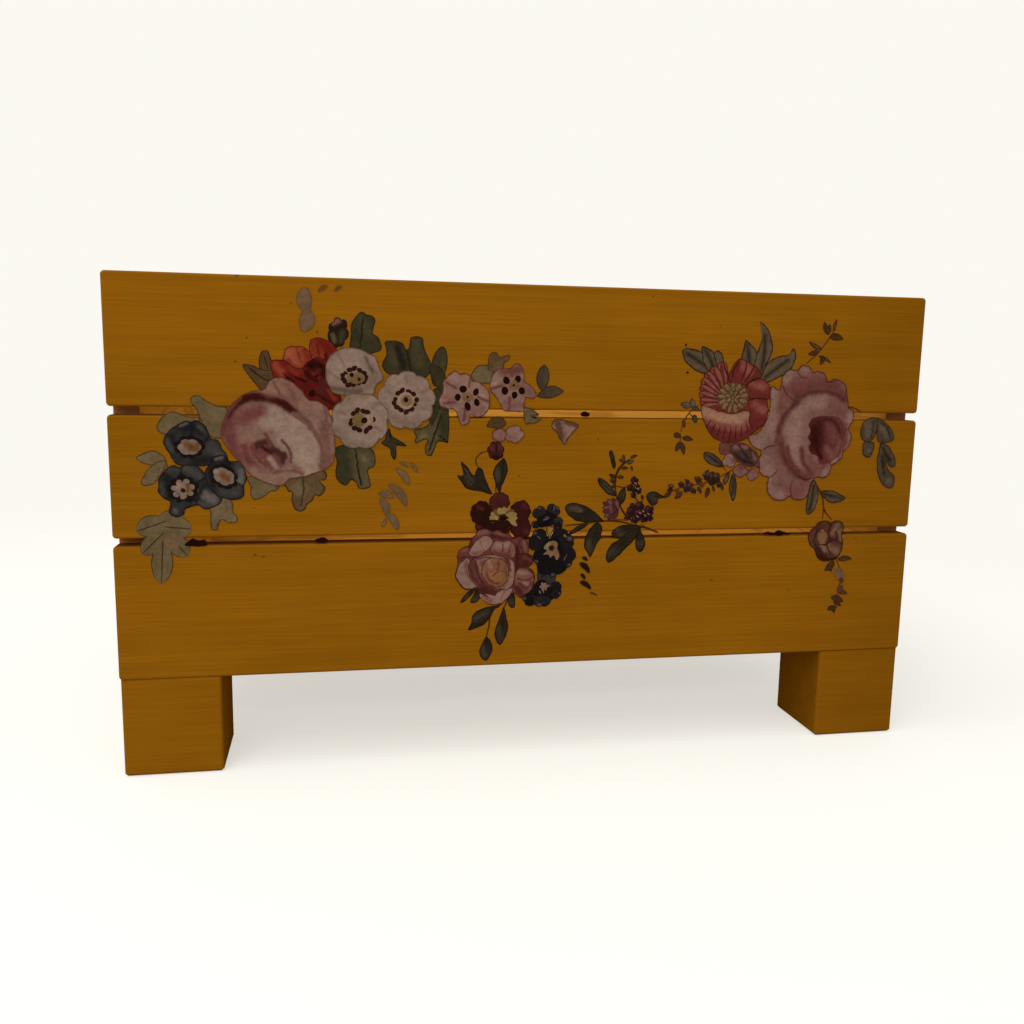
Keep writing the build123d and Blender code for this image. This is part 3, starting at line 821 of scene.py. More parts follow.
def blue_auriculas(sheet):
    """Three dark blue flowers, then their chalky eyes."""
    for points, strokes in (
        ((-10.2, 8.5, -9.5, 11.5, -7.5, 13.5, -5.8, 14.8, -3, 16.3, -1, 15.8, 0.5, 16.6, 3.5, 15, 4.5, 12.5,
         5.5, 10.3, 7.7, 9.5, 9.5, 6.5, 11, 3.5, 9, 1.5, 4, 1, -1, 1, -6, 1.5, -8, 3.5, -8.5, 5.5),
         [("midnight", 4, 0.8, -3, 14, 2.5, 13.4), ("slate", 3.6, 0.9, 5.5, 7, 8.5, 4),
         ("midnight", 2.2, 0.8, -7.5, 11, -6.4, 7), ("slate", 1.5, 0.9, -8.8, 9.6, -7.4, 6),
         ("midnight", 3, 0.8, 0, 2.5, 5, 3), ("mist", 1, 0.9, -4.6, 14.8, -2.5, 15.4),
         ("shadow", 0.7, 0.8, -0.6, 15.4, -1, 11.4), ("shadow", 0.7, 0.8, 4.6, 10.6, 2.4, 8.4),
         ("slate", 1.4, 0.9, 1.6, 14.6, 3.4, 12.6)]),
        ((-12.5, -7, -12, -3.5, -10, -0.5, -7.5, 1.2, -5, 0.6, -3, 1.5, 1, 0.8, 3.5, -2.5, 6, -6, 8.5, -9.5,
         7.5, -12.5, 3, -14, 0.6, -12.8, -1.5, -13.3, -4, -14, -4.5, -16, -7, -16.7, -9, -15, -8.8, -11.5,
         -11.5, -9.5), [("slate", 2.4, 0.9, -8, -0.6, -3, 0, 1.5, -3), ("mist", 3.2, 0.8, 2, -8.5,
         5.7, -11), ("slate", 1.8, 0.9, 0, -12, 4.4, -12.6), ("slate", 1.8, 0.9, -11, -5.4, -10.2, -9),
         ("midnight", 2.6, 0.8, -9.5, -3, -8.8, -10), ("mist", 1.6, 0.9, -7, -14.6),
         ("midnight", 1.6, 0.8, 2.5, -6, 0, -10.5), ("shadow", 0.7, 0.8, -4.6, 0.6, -4.8, -2.6),
         ("shadow", 0.7, 0.8, 0.6, -12.6, -1, -10), ("shadow", 0.7, 0.8, 3.4, -3, 0.4, -5)]),
        ((3, -1.5, 4.5, 1.5, 6, 4, 9.5, 4.8, 11.5, 2.5, 14.5, 3, 16.2, 0.5, 17, -3, 16, -6, 16, -9,
         15, -10.5, 12, -10.8, 8, -10, 5, -7.5, 3.5, -5), [("midnight", 3.6, 0.8, 6, 2, 10.5, 2.4),
         ("slate", 3, 0.8, 14.5, 0.6, 14.7, -6), ("slate", 2.6, 0.9, 13, -8.5, 8.5, -8.2),
         ("midnight", 1.8, 0.8, 4.7, -2, 5.5, -6), ("mist", 1.8, 0.9, 15.2, -1, 14.8, -5),
         ("mist", 1.2, 0.9, 7, 3.4, 8.6, 3.6), ("shadow", 0.7, 0.8, 11.6, 2.4, 10.6, 0),
         ("shadow", 0.7, 0.8, 16, -6.4, 13.4, -5)]),
    ):
        sheet.shape(points, "dusk", line="shadow", strokes=strokes, shake=0.5)
    for place, radii, turn, lobes, depth, strokes in (
        ((-1.7, 7.4), (3.8, 2.8), 0, 6, 0.14, [("ochre", 2.2, 0.9, -2.6, 8.2, -0.4, 7),
         ("ochre", 1.6, 0.9, 1, 8.2, 0.8, 6.8), ("eye_cream", 1.2, 0.9, -4.4, 7.6)]),
        ((-4.3, -7), (4, 3.6), 15, 7, 0.42, [("eye_cream", 1.5, 0.9, -6, -5.8),
         ("ochre", 1.3, 0.9, -2.8, -5.6, -2.6, -7.6), ("mist", 1.2, 0.9, -6, -8.6)]),
        ((9.3, -2.7), (3.9, 2.8), -35, 6, 0.16, [("ochre", 2.6, 0.9, 9, -2.4, 10.6, -3.6),
         ("eye_cream", 1.2, 0.9, 7, -1.2)]),
    ):
        sheet.bloom(place, (radii[0] + 1.3, radii[1] + 1.3), "shadow", turn=turn, lobes=9, depth=0.16,
            shake=0.5)
        sheet.bloom(place, radii, "chalk", turn=turn, lobes=lobes, depth=depth, shake=0.4, strokes=strokes)
    sheet.bloom((-4.3, -7.4), 0.85, "dash", shake=0.3)


class KEEPSAKE_OT_blue_auriculas(bpy.types.Operator):
    """Lay the three dark blue auriculas"""

    bl_idname = "keepsake.blue_auriculas"
    bl_label = "Left spray: blue auriculas"

    def execute(self, context):
        return paper_piece(blue_auriculas, 0.22, context, (-122, 110))


def left_rose(sheet):
    """The large rose of the left spray."""
    sheet.shape((-20.3, 3, -19.6, 8, -17.5, 12.5, -13.5, 16.8, -9, 18.8, -5.5, 19.5, -4, 22, -0.5, 23.5,
        3.5, 22, 7, 19, 9.2, 16, 12.5, 15.3, 15.5, 13.3, 16.8, 10, 17.8, 6, 18.2, 0, 17.5, -5.5, 15, -8.2,
        11.5, -9.5, 8, -10.8, 3, -11.5, -0.5, -14, -4.5, -13.5, -8.5, -11.8, -11.5, -9.5, -14, -6,
        -17.5, -2), "blush", heart=(-1, 3), line="rose_line", pen=0.35, step=0.45,
        strokes=[("cream", 17, 0.3, -1, 6, 5.5, 0, 7, -6), ("rosy_pale", 8, 0.9, -15, 10, -16, 2, -12, -5),
        ("rosy", 4.5, 0.9, -17.5, 9, -17, 1, -13.5, -5.5), ("rosy", 6, 0.9, -12, 9.5, -8, 11.5),
        ("blush", 5.5, 0.9, -10.5, 4.5, -4.5, 4.5), ("cream", 4, 0.9, -5, 8, 0, 9),
        ("rosy", 2.6, 0.9, -18.4, 6.5, -18, 11), ("crimson", 3.3, 0.5, -18.2, 10.6, -14.8, 14.6, -9.9, 16.6,
        -3.5, 16.2, 1.9, 13.6, 5.5, 11), ("rosy", 1.8, 0.9, 6, 11, 9.8, 7.5),
        ("rose_rim", 1.4, 0.8, -19.6, 3.5, -18.6, 10, -13.6, 16.4), ("rosy", 1.2, 0.8, -3.5, 18.2,
        2.5, 16.2, 5.7, 12.8), ("top_petal", 5.5, 0.7, -3.5, 20, 2, 20.5, 6.4, 16.5, 9.5, 13),
        ("mauve_shade", 2.6, 0.8, 2.5, 20.5, 4.8, 15), ("rosy", 0.9, 0.6, -2.5, 21.6, -0.5, 17.8),
        ("blush", 5, 0.7, 9, 13, 13.2, 12), ("fold", 1.8, 0.6, 4, 11, 8.8, 7.5, 12.2, 3, 14, -2.5,
        13.5, -8), ("fold", 1.5, 0.6, 14.8, 13, 15.7, 7.5), ("mauve_shade", 4.2, 0.8, 14, 6.5, 16, -1,
        14.7, -7), ("blush", 1.6, 0.9, 16.8, 5, 17.2, -2.5), ("rosy", 7, 0.9, -8, -2.5, -1.5, -5.5),
        ("rosy_pale", 4.5, 0.9, -11, -5.5, -7, -8.5), ("rose_rim", 1.2, 0.6, -13, 0, -11.4, -5.5,
        -7.4, -9.4), ("heart", 2.4, 0.6, -9.4, -0.4, -5.4, 1.2, -3.2, -1, 0.5, -3.8),
        ("rosy", 1, 0.8, -12, 0.4, -11, -4.6, -7.6, -8), ("rosy", 0.9, 0.8, -10, 1, -8.6, -4, -5.4, -7.2),
        ("heart_deep", 1.6, 0.7, -6.6, -0.6, -3.6, -2.6), ("rosy", 0.8, 0.8, -6.6, -3, -4.4, -6.4, -1, -9),
        ("heart", 1.5, 0.8, 0.6, -3, 0, -6), ("rosy", 0.8, 0.8, -2, -4, -0.4, -7.4),
        ("rosy", 1.3, 0.7, -5.5, 4, -4, 0), ("rosy", 1, 0.7, 0, 2, 2.5, -1.5, 3, -6),
        ("cream", 1.7, 0.8, -4.2, -4.5, -2, -7.5), ("blush", 4.2, 0.8, -10, -9.4, -4, -12, 2, -10.6),
        ("rosy_pale", 2.2, 0.9, 4, -7.5, 6.5, -9.4), ("fold", 0.9, 0.6, -12, -9.2, -8.8, -11.8),
        ("fold", 0.9, 0.6, -3, -9.5, 3, -8.8, 7, -10)])


class KEEPSAKE_OT_left_rose(bpy.types.Operator):
    """Lay the large pink rose of the left spray"""

    bl_idname = "keepsake.left_rose"
    bl_label = "Left spray: rose"

    def execute(self, context):
        return paper_piece(left_rose, 0.3, context, (-93, 118))


def white_auriculas(sheet):
    """Three white flowers with a ring of red-brown marks each."""
    sheet.shape((-16, 9.5, -15, 13, -12.5, 15.5, -9, 17, -5, 16.8, -1.5, 15.3, 1, 14, 2.3, 11, 3.7, 8,
        3.7, 6.2, 1.5, 4, 0, 0.5, -4, 0.8, -9, 0.5, -13, 1.3, -15.3, 4.5), "petal_white", heart=(-6, 8.5),
        line="petal_line", strokes=[("petal_grey", 4.5, 0.9, -1.5, 13.5, 1.2, 8, -1.5, 3, -6, 2),
        ("petal_shade", 2, 0.9, -14, 3, -9, 2, -4, 2), ("petal_white", 2.2, 0.8, -0.4, 14.4, 1.8, 10.6),
        ("petal_shade", 0.8, 0.6, -2.5, 13.8, 0.5, 8.5), ("petal_grey", 1.2, 0.9, -11.5, 15, -9.5, 11),
        ("petal_grey", 1.2, 0.9, -14.8, 9, -11.5, 6)])
    sheet.bloom((12, -1), 10.4, "petal_white", lobes=9, depth=0.1, line="petal_line", turn=8,
        strokes=[("petal_grey", 4.5, 0.9, 4, -4, 8, -8.5, 14, -9.5), ("petal_grey", 1, 0.8, 4.5, 3.5,
        6.8, 1.5), ("petal_grey", 1, 0.8, 12, 8, 12, 5), ("petal_grey", 1, 0.8, 19, 3.5, 17, 1.6),
        ("petal_grey", 1, 0.8, 20, -4.5, 17.4, -3.4), ("petal_grey", 1, 0.8, 12, -9, 11.8, -6.2)])
    sheet.bloom((-4.2, -8.3), (10.3, 10), "petal_white", lobes=8, depth=0.1, line="petal_line", turn=20,
        strokes=[("petal_grey", 3.2, 0.9, -12.5, -12, -8.5, -16.2, -3, -17.2),
        ("petal_grey", 2.4, 0.9, -10, -0.5, -2, 0.6), ("petal_grey", 1, 0.8, -12.5, -5, -9.5, -6.2),
        ("petal_grey", 1, 0.8, 3.5, -12, 1, -10.4), ("petal_grey", 1, 0.8, 2, -2, 0, -4)])
    for (x, z), (wide, high), marks in (
        ((-6.1, 6.9), (4.5, 3), (0, 25, 60, 85, 110, 140, 165, 190, 215, 240, 262, 290, 320, 340)),
        ((11.6, -1.2), (4.5, 3.8), (5, 40, 70, 100, 125, 160, 190, 215, 245, 270, 300, 330)),
        ((-3.6, -8.2), (4.5, 3.8), (5, 55, 80, 105, 130, 170, 195, 225, 255, 285, 310)),
    ):
        for index, turn in enumerate(marks):
            reaches = ((0.72, 20), (1.22 - 0.2 * (index % 3), -6)) if index % 2 else ((0.9, -14), (1.02,
                16))
            ends = [(x + reach * wide * math.cos(math.radians(turn + lag)), z + reach * high *
                math.sin(math.radians(turn + lag))) for reach, lag in reaches]
            sheet.blade(ends, 1.75, "dash", tip=0.5, widest=1, bend=0.08)
    for place, radius, ink in (
        ((-5.6, 6.6), (3.2, 2), "eye_tan"), ((-7, 7.6), 0.8, "dot"), ((-4.4, 6), 0.6, "dash"),
        ((11.8, -1.1), 3, "eye_cream"), ((12, -1.1), 2.1, "eye_tan"), ((11.8, -0.8), 0.9, "dot"),
        ((-4.6, -8), (2.3, 2.4), "eye_olive"), ((-1.4, -7.8), 1.8, "eye_cream"), ((-2.7, -8.1), 1.1, "dot"),
    ):
        sheet.bloom(place, radius, ink, shake=0.25)


class KEEPSAKE_OT_white_auriculas(bpy.types.Operator):
    """Lay the three white auriculas with red-brown marks"""

    bl_idname = "keepsake.white_auriculas"
    bl_label = "Left spray: white auriculas"

    def execute(self, context):
        return paper_piece(white_auriculas, 0.38, context, (-62, 135))


def mauve_auriculas(sheet):
    """Two mauve flowers and the small leaves round them."""
    for points, heart, ink in (
        ((-12, 8.5, -10.5, 11, -8, 11.8, -5, 11.3, -4, 8, -5, 5.5, -9, 5.3, -11.5, 6.5), (-8, 8.5), "sage"),
        ((-5.5, 10, -6, 13.5, -5, 16, -3, 16.3, -2, 14.8, -0.5, 15, 1.5, 15.8, 1.8, 14.3, 0, 12.5, -1, 10),
         (-3.3, 13), "moss"),
        ((7.2, -3.2, 9.5, -3.2, 11.5, -4.2, 13, -5.7, 11.5, -6.7, 14, -7.2, 12.5, -8.3, 10, -9, 8.2, -9.2,
         7.5, -7.5), (9.5, -6), "sage"),
    ):
        sheet.shape(points, ink, heart=heart, line="sage_line")
    sheet.blade((14, 3, 14, 7, 14.7, 12.3), 4.8, "grey_leaf", line="grey_leaf_line", tip=0.6, widest=1,
        veins=0.6)
    sheet.blade((12, 1, 17, 2.6, 22, 3), 4.4, "grey_leaf", line="grey_leaf_line", tip=0.8, widest=1,
        veins=0.6)
    sheet.shape((18.8, -7.2, 23, -7.5, 28, -9.2, 26, -12, 24, -14.5, 22.8, -16.5, 21, -14.5, 19.5, -12,
        17.8, -10), "lilac", heart=(22.5, -11), line="olive_line", strokes=[("olive", 3, 0.8, 20, -8.5,
        21.4, -13.5), ("olive", 1.6, 0.8, 23, -8.2, 26.5, -9.6), ("lilac_deep", 0.8, 0.7, 22, -9,
        23, -14.5)])
    sheet.blade((1, -9, -3, -8.6, -6.4, -10), 4.6, "olive", line="olive_line", veins=0.6)
    sheet.bloom((-1.5, -13), (3, 2.6), "lilac_deep", line="lilac_line", lobes=5, depth=0.15)
    sheet.bloom((4, -12.7), (3.7, 3.3), "lilac", line="lilac_line", lobes=5, depth=0.15,
        strokes=[("lilac_deep", 1.4, 0.8, 2, -14, 5, -14.7)])

    sheet.shape((-20.5, 7.5, -19.5, 8.8, -17.8, 9.8, -16, 8.5, -14.5, 9, -12.5, 8, -11.5, 6.5, -9.5, 6,
        -7.5, 4.5, -5.5, 2.5, -5, -1, -5.5, -3.5, -7, -6, -10, -6.7, -12, -6, -12.3, -8, -13.5, -9.4,
        -15.5, -9.4, -16.8, -7, -17.5, -4.5, -20, -4, -22.8, -3, -23.5, -0.5, -22, 2.5, -22.3, 5.5),
        "lilac", heart=(-13.7, 0.3), line="lilac_line", strokes=[("lilac_pale", 3, 0.9, -18.5, 6.5),
        ("lilac_deep", 3.2, 0.9, -15, -6.5, -9, -4), ("lilac_pale", 2.6, 0.9, -7.5, 1),
        ("lilac_deep", 2.6, 0.9, -21, 0, -18, -1), ("lilac_shade", 1, 0.7, -17.5, 3.5, -20.8, 5.5),
        ("lilac_shade", 1, 0.7, -12.8, 4, -12.2, 7.5), ("lilac_shade", 1, 0.7, -9.5, 0.6, -6, -1),
        ("lilac_shade", 1, 0.7, -14, -3.5, -14.6, -8), ("lilac_shade", 1, 0.7, -18, -1.5, -21.8, -2)])
    sheet.shape((-4.5, 8.5, -2.5, 10.5, 0, 10.8, 2, 11, 3.5, 12.2, 5.2, 12.5, 6.5, 11, 7.2, 8.5, 7.5, 6,
        9.5, 5, 11.2, 3.2, 12, 1.3, 10.5, 0, 8, 0.3, 7.5, -2.5, 7, -4.7, 3.5, -4.7, 0, -4.5, -1.5, -2,
        -3, 0.5, -5, 2.5, -5.3, 4.5), "lilac", heart=(3, 4), line="lilac_line",
        strokes=[("lilac_shade", 3.2, 0.9, -0.5, 9.5, 5.5, 10.5), ("lilac_deep", 4, 0.9, 6.5, 4.5, 9, 2.4),
        ("lilac_deep", 4, 0.9, 0, -2.5, 5, -2.7), ("lilac_pale", 2.4, 0.9, -3.2, 5.5),
        ("lilac_shade", 1, 0.7, 2.6, 8, 2.4, 11), ("lilac_shade", 1, 0.7, -1, 4.5, -4.5, 3.6),
        ("lilac_shade", 1, 0.7, 2, 0.5, 1.8, -4)])
    for place, size, turn in (
        ((-14.9, 3.2), (1.4, 1.3), 0), ((-10.3, 2.2), (1, 1.4), -20), ((-16.8, 0.3), (1.1, 1.3), 0),
        ((-9.9, -1.5), (1, 1.4), 15), ((-13.2, -2.9), (1.1, 1.6), 20), ((0.7, 6.5), (1.2, 1.4), 20),
        ((4.9, 7), (1.1, 1.4), -15), ((0.2, 2.8), (1.3, 1.5), 0), ((3.7, 1.3), (1.1, 1.3), 0),
        ((6.4, 2.9), (1.2, 1.3), 30),
    ):
        sheet.bloom(place, size, "dot", turn=turn, shake=0.15)
    for place, size in (((-13.2, 0.4), (2.2, 1.8)), ((3.4, 4.8), (2, 1.8))):
        sheet.bloom(place, size, "ochre_eye", lobes=5, depth=0.2, shake=0.15)
        sheet.bloom(place, 0.5, "dash", shake=0.1)


class KEEPSAKE_OT_mauve_auriculas(bpy.types.Operator):
    """Lay the two mauve auriculas, with the leaves and torn scraps round them"""

    bl_idname = "keepsake.mauve_auriculas"
    bl_label = "Left spray: mauve auriculas"

    def execute(self, context):
        return paper_piece(mauve_auriculas, 0.16, context, (-15, 135))


def middle_leaves(sheet):
    """The stems, the berry and the dark leaves of the middle spray."""
    for points, width in (
        ((-4.3, 36, -7, 35.5, -9, 33.3, -8.6, 31, -7.4, 29.5), 0.45), ((-1.4, 25, -1.6, 22, -1, 20), 0.5),
        ((0.4, 23.4, 0, 21, -0.2, 20), 0.5), ((4.5, -15.5, 1.5, -20, -1, -21.8), 0.5),
        ((4, -17.5, 2, -23), 0.5), ((2.6, -19, 0, -22, -2, -22.4), 0.5),
        ((0.6, -20.6, -2.8, -24.4, -3.4, -29, -4.6, -34.4), 0.6),
    ):
        sheet.blade(points, width, "stem", tip=0.2)
    sheet.bloom((-1.7, 36.2), (3.2, 3.6), "berry", line="shadow", lobes=7, depth=0.16, turn=15,
        strokes=[("berry_pale", 1.4, 0.9, -3.6, 38, -2.6, 36.6), ("berry_pale", 1.2, 0.9, -0.6, 38.6,
        0, 37), ("shadow", 1.2, 0.9, -2.6, 34, -0.6, 34), ("shadow", 0.6, 0.9, -1.6, 38.6, -1.4, 36)])
    for points, pale, vein in (
        ((-3, 20.2, -7, 21.4, -12, 22.4, -14, 24.7, -15.8, 27.3, -13.6, 27.6, -14.5, 32.1, -12, 30.4,
         -9.8, 27.2, -8.6, 30, -6.6, 29.7, -5.6, 26.4, -4, 22.8), (-12.5, 28.5, -11, 25), (-14, 30.4,
         -10.4, 24.6, -4.5, 21)),
        ((-0.2, 20.6, -1.8, 24.6, -2.8, 27.8, -1.8, 30.6, -0.2, 32.4, 1.4, 33.6, 2.4, 31.4, 2.8, 29,
         1.8, 26.2, 0.6, 23.2), (-1.2, 29.4, -1, 26), (1.2, 32.6, 0.6, 27, -0.2, 22)),
        ((0, -21.5, -3, -21.6, -6.7, -22.6, -9.4, -24.7, -10, -27.3, -11.2, -30.5, -8, -29.8, -4.8, -28.1,
         -3, -26, -1.6, -23.2), (-8.4, -26.4, -4.6, -24), (-9.8, -29, -5.6, -25.4, -1, -22)),
        ((2, -22.2, 3, -25.3, 3.8, -29.3, 3.2, -33, 1, -36.5, -0.8, -34.2, -1.2, -30.7, 0.2, -27, 1.2, -24),
         (0.2, -30.4, 1.2, -34), (1.8, -23.4, 1.8, -30, 1, -35)),
        ((-4.4, -33.2, -2.5, -35.3, -1.9, -38, -3, -41, -4.4, -42.4, -6.2, -41.3, -6.9, -38.7, -6, -35.8),
         (-5.4, -37.4, -5, -40.4), (-4.6, -34.4, -4.2, -39.6)),
        ((-8.2, -14.4, -10.8, -15.2, -13, -17.4, -14.2, -19.9, -12.2, -19.2, -10, -17), (-12, -17.6),
         (-13.4, -19, -9, -15)),
        ((-8, -14.6, -9.6, -17.4, -10.4, -19.8, -8.6, -20, -7, -18.4, -6.8, -16), (-8.8, -18.4), (-8, -15.4,
         -9, -19)),
        ((4.6, -15.4, 3.4, -18.6, 4.2, -21.8, 5.8, -22.4, 6.4, -19.6, 5.8, -16.4), (5, -20), (5, -16.4,
         5.2, -21)),
    ):
        sheet.shape(points, "deep_leaf", line="deep_leaf_line", pen=0.45, strokes=[("deep_leaf_pale", 2.2,
            0.9, *pale)])
        sheet.blade(vein, 0.3, "deep_leaf_line", tip=0.2)


class KEEPSAKE_OT_middle_leaves(bpy.types.Operator):
    """Lay the leaves, stems and berry of the middle spray"""

    bl_idname = "keepsake.middle_leaves"
    bl_label = "Middle spray: leaves and berry"

    def execute(self, context):
        return paper_piece(middle_leaves, 0.03, context, (-16, 80))


def wine_auricula(sheet):
    """A wine red flower with a golden star."""
    for x, z, wide, high, ink, lit in (
        (-22.3, 89, 4.2, 2.8, "wine_dark", (-25, 89)), (-8, 88, 4, 4.4, "wine", (-6.4, 86.6)),
        (-16.2, 97.3, 4, 3.7, "wine_pale", (-15.4, 99)), (-22.8, 93.6, 4.5, 4.1, "wine_dark", (-24, 95.6)),
        (-8.2, 94, 3.9, 4.1, "wine", (-7.4, 96.2)), (-14.5, 88.6, 6.5, 3, "wine_dark", (-12, 86.6)),
    ):
        sheet.bloom((x, z), (wide, high), ink, line="shadow", pen=0.35, lobes=9, depth=0.09, turn=20 * x,
            shake=0.4, strokes=[("wine_pale", 1.6, 0.9, lit, (lit[0] + 1.4, lit[1] - 0.6)), ("shadow", 0.5,
            0.8, (x, z), (-14.6, 91.6))])
    sheet.bloom((-18.6, 88.4), (3.4, 2.2), "wine_dark", shake=0.4)
    for index in range(11):
        turn = math.radians(200 - 23 * index)
        tip = (-14.6 + 5.3 * math.cos(turn), 91.8 + 3.9 * math.sin(turn))
        sheet.blade([(-14.6, 91.8), tip], 1.9, "star_low" if index % 4 == 3 else "star", tip=0.45,
            widest=1.5, bend=0.08)
    sheet.blade((-12, 90.4, -9.4, 88.6), 1.5, "star", tip=0.5)
    sheet.bloom((-14.7, 91.6), (2, 1.3), "olive_line", lobes=5, depth=0.3, shake=0.5)
    sheet.bloom((-14.7, 91.4), (1.3, 0.9), "dot", shake=0.3)
    sheet.blade((-20, 90.6, -15, 89.9, -11, 88.8), 1.3, "wine_dark", tip=0.5)


class KEEPSAKE_OT_wine_auricula(bpy.types.Operator):
    """Lay the wine red auricula with its golden star"""

    bl_idname = "keepsake.wine_auricula"
    bl_label = "Middle spray: wine red auricula"

    def execute(self, context):
        return paper_piece(wine_auricula, 0.14, context)


def peony(sheet):
    """The peony of the middle spray."""
    sheet.shape((-8, 10.6, -6.5, 12.4, -4, 12.8, -1.6, 11.8, 0.4, 12.2, 2.6, 11, 4.6, 11, 6.2, 9.2,
        8.6, 9.6, 10.6, 8.6, 12.2, 6, 11.8, 3.6, 13.8, 1.8, 13.4, -0.6, 12.4, -2, 14.2, -4, 14.7, -6.5,
        14, -10, 12, -11.7, 9.4, -13.8, 7.5, -12.2, 6, -12, 4, -14.2, 0, -16, -3, -15.5, -5.5, -13,
        -7, -9.8, -11, -10, -14, -7.7, -15.2, -4, -14.3, 0, -14.5, 3, -13, 5.5, -10.5, 6.5, -10, 8),
        "peony_mauve", heart=(0, -1.5), line="peony_line", pen=0.35,
        strokes=[("peony_pink", 1.6, 0.9, -7, 11, -3, 11.8), ("peony_pink", 1.4, 0.9, -0.4, 11, 2.4, 10),
        ("peony_line", 2.6, 0.9, 7.6, 5, 8, -1, 7.2, -8), ("peony_deep", 3, 0.8, -10.5, 7, -7, 1),
        ("peony_deep", 1.2, 0.9, -2, 10, 5, 8.6)])
    pen = 0.3
    for points, ink, strokes in (
        ((-14.4, 2, -13.6, 5, -11, 6.3, -9.4, 5, -10, 2, -12.4, 0.8), "peony_mauve",
         [("peony_pink", 1, 0.9, -12.5, 4.6, -11, 5), ("peony_deep", 1, 0.9, -13, 2, -11, 2)]),
        ((-10.2, 3, -9.4, 6, -7, 8.6, -4.4, 10.2, -2.2, 9.6, -1.4, 7.2, -3.4, 4.6, -6.6, 2.6), "peony_pale",
         [("peony_pink", 1.6, 0.9, -9, 3.4, -4, 4), ("peony_pink", 0.5, 0.8, -6, 8, -5, 5)]),
        ((-2.2, 4, -1.6, 7, 0.4, 8.4, 2.6, 7.8, 4.6, 8.2, 6.8, 6.6, 7.4, 4, 6.4, 1.6, 3.4, 1.2, 0, 2),
         "peony_pink", [("peony_pale", 2.4, 0.9, 0, 6.6, 4, 6.6), ("peony_deep", 0.5, 0.8, 2.4, 7.6,
         2.4, 4), ("peony_mauve", 1.4, 0.9, -1, 3.6, 5, 2.4), ("peony_deep", 0.5, 0.8, 5.4, 6.6,
         4.6, 3.4)]),
        ((-15, -4.5, -13.8, -0.4, -11, 1.8, -9.4, 0.6, -9.8, -3.4, -8.2, -6.6, -6.4, -8.4, -9.4, -9.8,
         -12.8, -8.7), "peony_pale", [("peony_pink", 1.2, 0.9, -11.2, 0.6, -10.6, -4, -8, -7.8)]),
        ((8.6, 8, 11, 8.6, 12.1, 5.6, 11.6, 2.6, 9, 2.5, 8.1, 5), "peony_mauve",
         [("peony_pink", 1, 0.9, 10.2, 7.4, 11, 4.4), ("peony_deep", 0.6, 0.9, 9, 6, 10, 3.4)]),
        ((8.6, 3, 11.6, 3.2, 13.6, 1.6, 13.6, -0.7, 11, -2.3, 8.3, -0.5), "peony_deep",
         [("peony_mauve", 1.2, 0.9, 10.6, 1.8, 12.6, 0.6)]),
        ((7, -4.4, 8.6, -2.4, 11.4, -2.6, 13.8, -4.2, 14.5, -7, 13.4, -10.4, 11, -12.4, 8.6, -13.4,
         7.2, -10.5, 6.7, -7), "peony_pink", [("peony_deep", 2.6, 0.8, 8, -10, 9.6, -12.2),
         ("peony_mauve", 2.4, 0.9, 11.4, -10, 13.4, -8.4), ("peony_pale", 1.2, 0.9, 8.6, -4, 12, -4.4),
         ("peony_deep", 0.6, 0.8, 8.4, -6.4, 11.4, -7, 13.6, -6), ("peony_deep", 0.6, 0.8, 8.6, -8,
         11, -10), ("peony_pale", 1, 0.9, 10.4, -8, 12, -8.4)]),
        ((-6.4, -12, -3.6, -15.2, 0.5, -16, 4, -14, 6.4, -10.2, 3.6, -10, 1, -11, -1.5, -13, -4, -11.4),
         "peony_pale", [("peony_pink", 1.4, 0.9, -4.5, -12.7, -2, -14.5), ("peony_pink", 0.6, 0.7, 3, -11,
         2, -14.5)]),
        ((-10.6, -2, -9.6, 0.8, -7, 2.4, -3, 3, 1, 2.6, 4.6, 2.2, 6.6, 0, 7.2, -4, 6.6, -8, 4, -10.6,
         1, -10.4, -1.4, -13, -4.6, -12.2, -7, -9, -9.4, -6), "peony_pink",
         [("peony_mauve", 4.6, 0.9, -8.6, -1, -7.6, -6, -5, -9), ("peony_pale", 2, 0.9, -6, 2, 0, 2.2),
         ("peony_deep", 4.4, 0.8, -4.4, -10.6, -1.6, -11), ("peony_pale", 1.8, 0.9, 5.6, -0.4, 6, -6,
         4.4, -9), ("peony_mauve", 1.6, 0.9, 4, 1, 5, -3), ("peony_deep", 0.7, 0.7, -9.6, -2, -8.6, -5.4,
         -6, -8.4), ("peony_deep", 0.7, 0.7, -7.8, 0.8, -6.8, -4, -4.8, -8),
         ("peony_pale", 0.9, 0.9, -6.8, 0.6, -5.8, -3.4), ("peony_deep", 0.6, 0.8, -7, 1.6, -3, 2,
         0.6, 1.2), ("peony_deep", 0.6, 0.8, 1.6, 2.6, 4.4, 0.6, 5.2, -3)]),
        ((-5.4, -3, -4.8, 0, -2, 1.8, 1.6, 1.4, 4, -0.6, 4.8, -4, 4, -7.4, 1, -9.2, -2.4, -8.6, -4.6, -6),
         "peach", [("peach_low", 1.6, 0.9, -3.6, -5, -1, -7.6, 2.6, -7.4), ("peony_pale", 1.4, 0.9, -3, 0.4,
         -1.6, -2), ("peach_glow", 3.4, 0.9, 0, -5.4, 2, -5.4), ("peach_low", 0.6, 0.7, -4, -1.4,
         -1.6, -3.6, -0.4, -0.4), ("peony_mauve", 0.6, 0.7, 0.4, 0.6, 1, -2.2, -1, -5),
         ("peach_low", 0.7, 0.7, 0.2, -3.6, 3.2, -3.4, 4, -6.4), ("peony_mauve", 0.6, 0.7, -3.6, -3.4,
         -2.6, -6.4, 0.6, -8.2), ("peony_deep", 0.5, 0.6, 3.4, -1.2, 4, -5),
         ("peach_low", 1, 0.8, 0.4, -2.4)]),
    ):
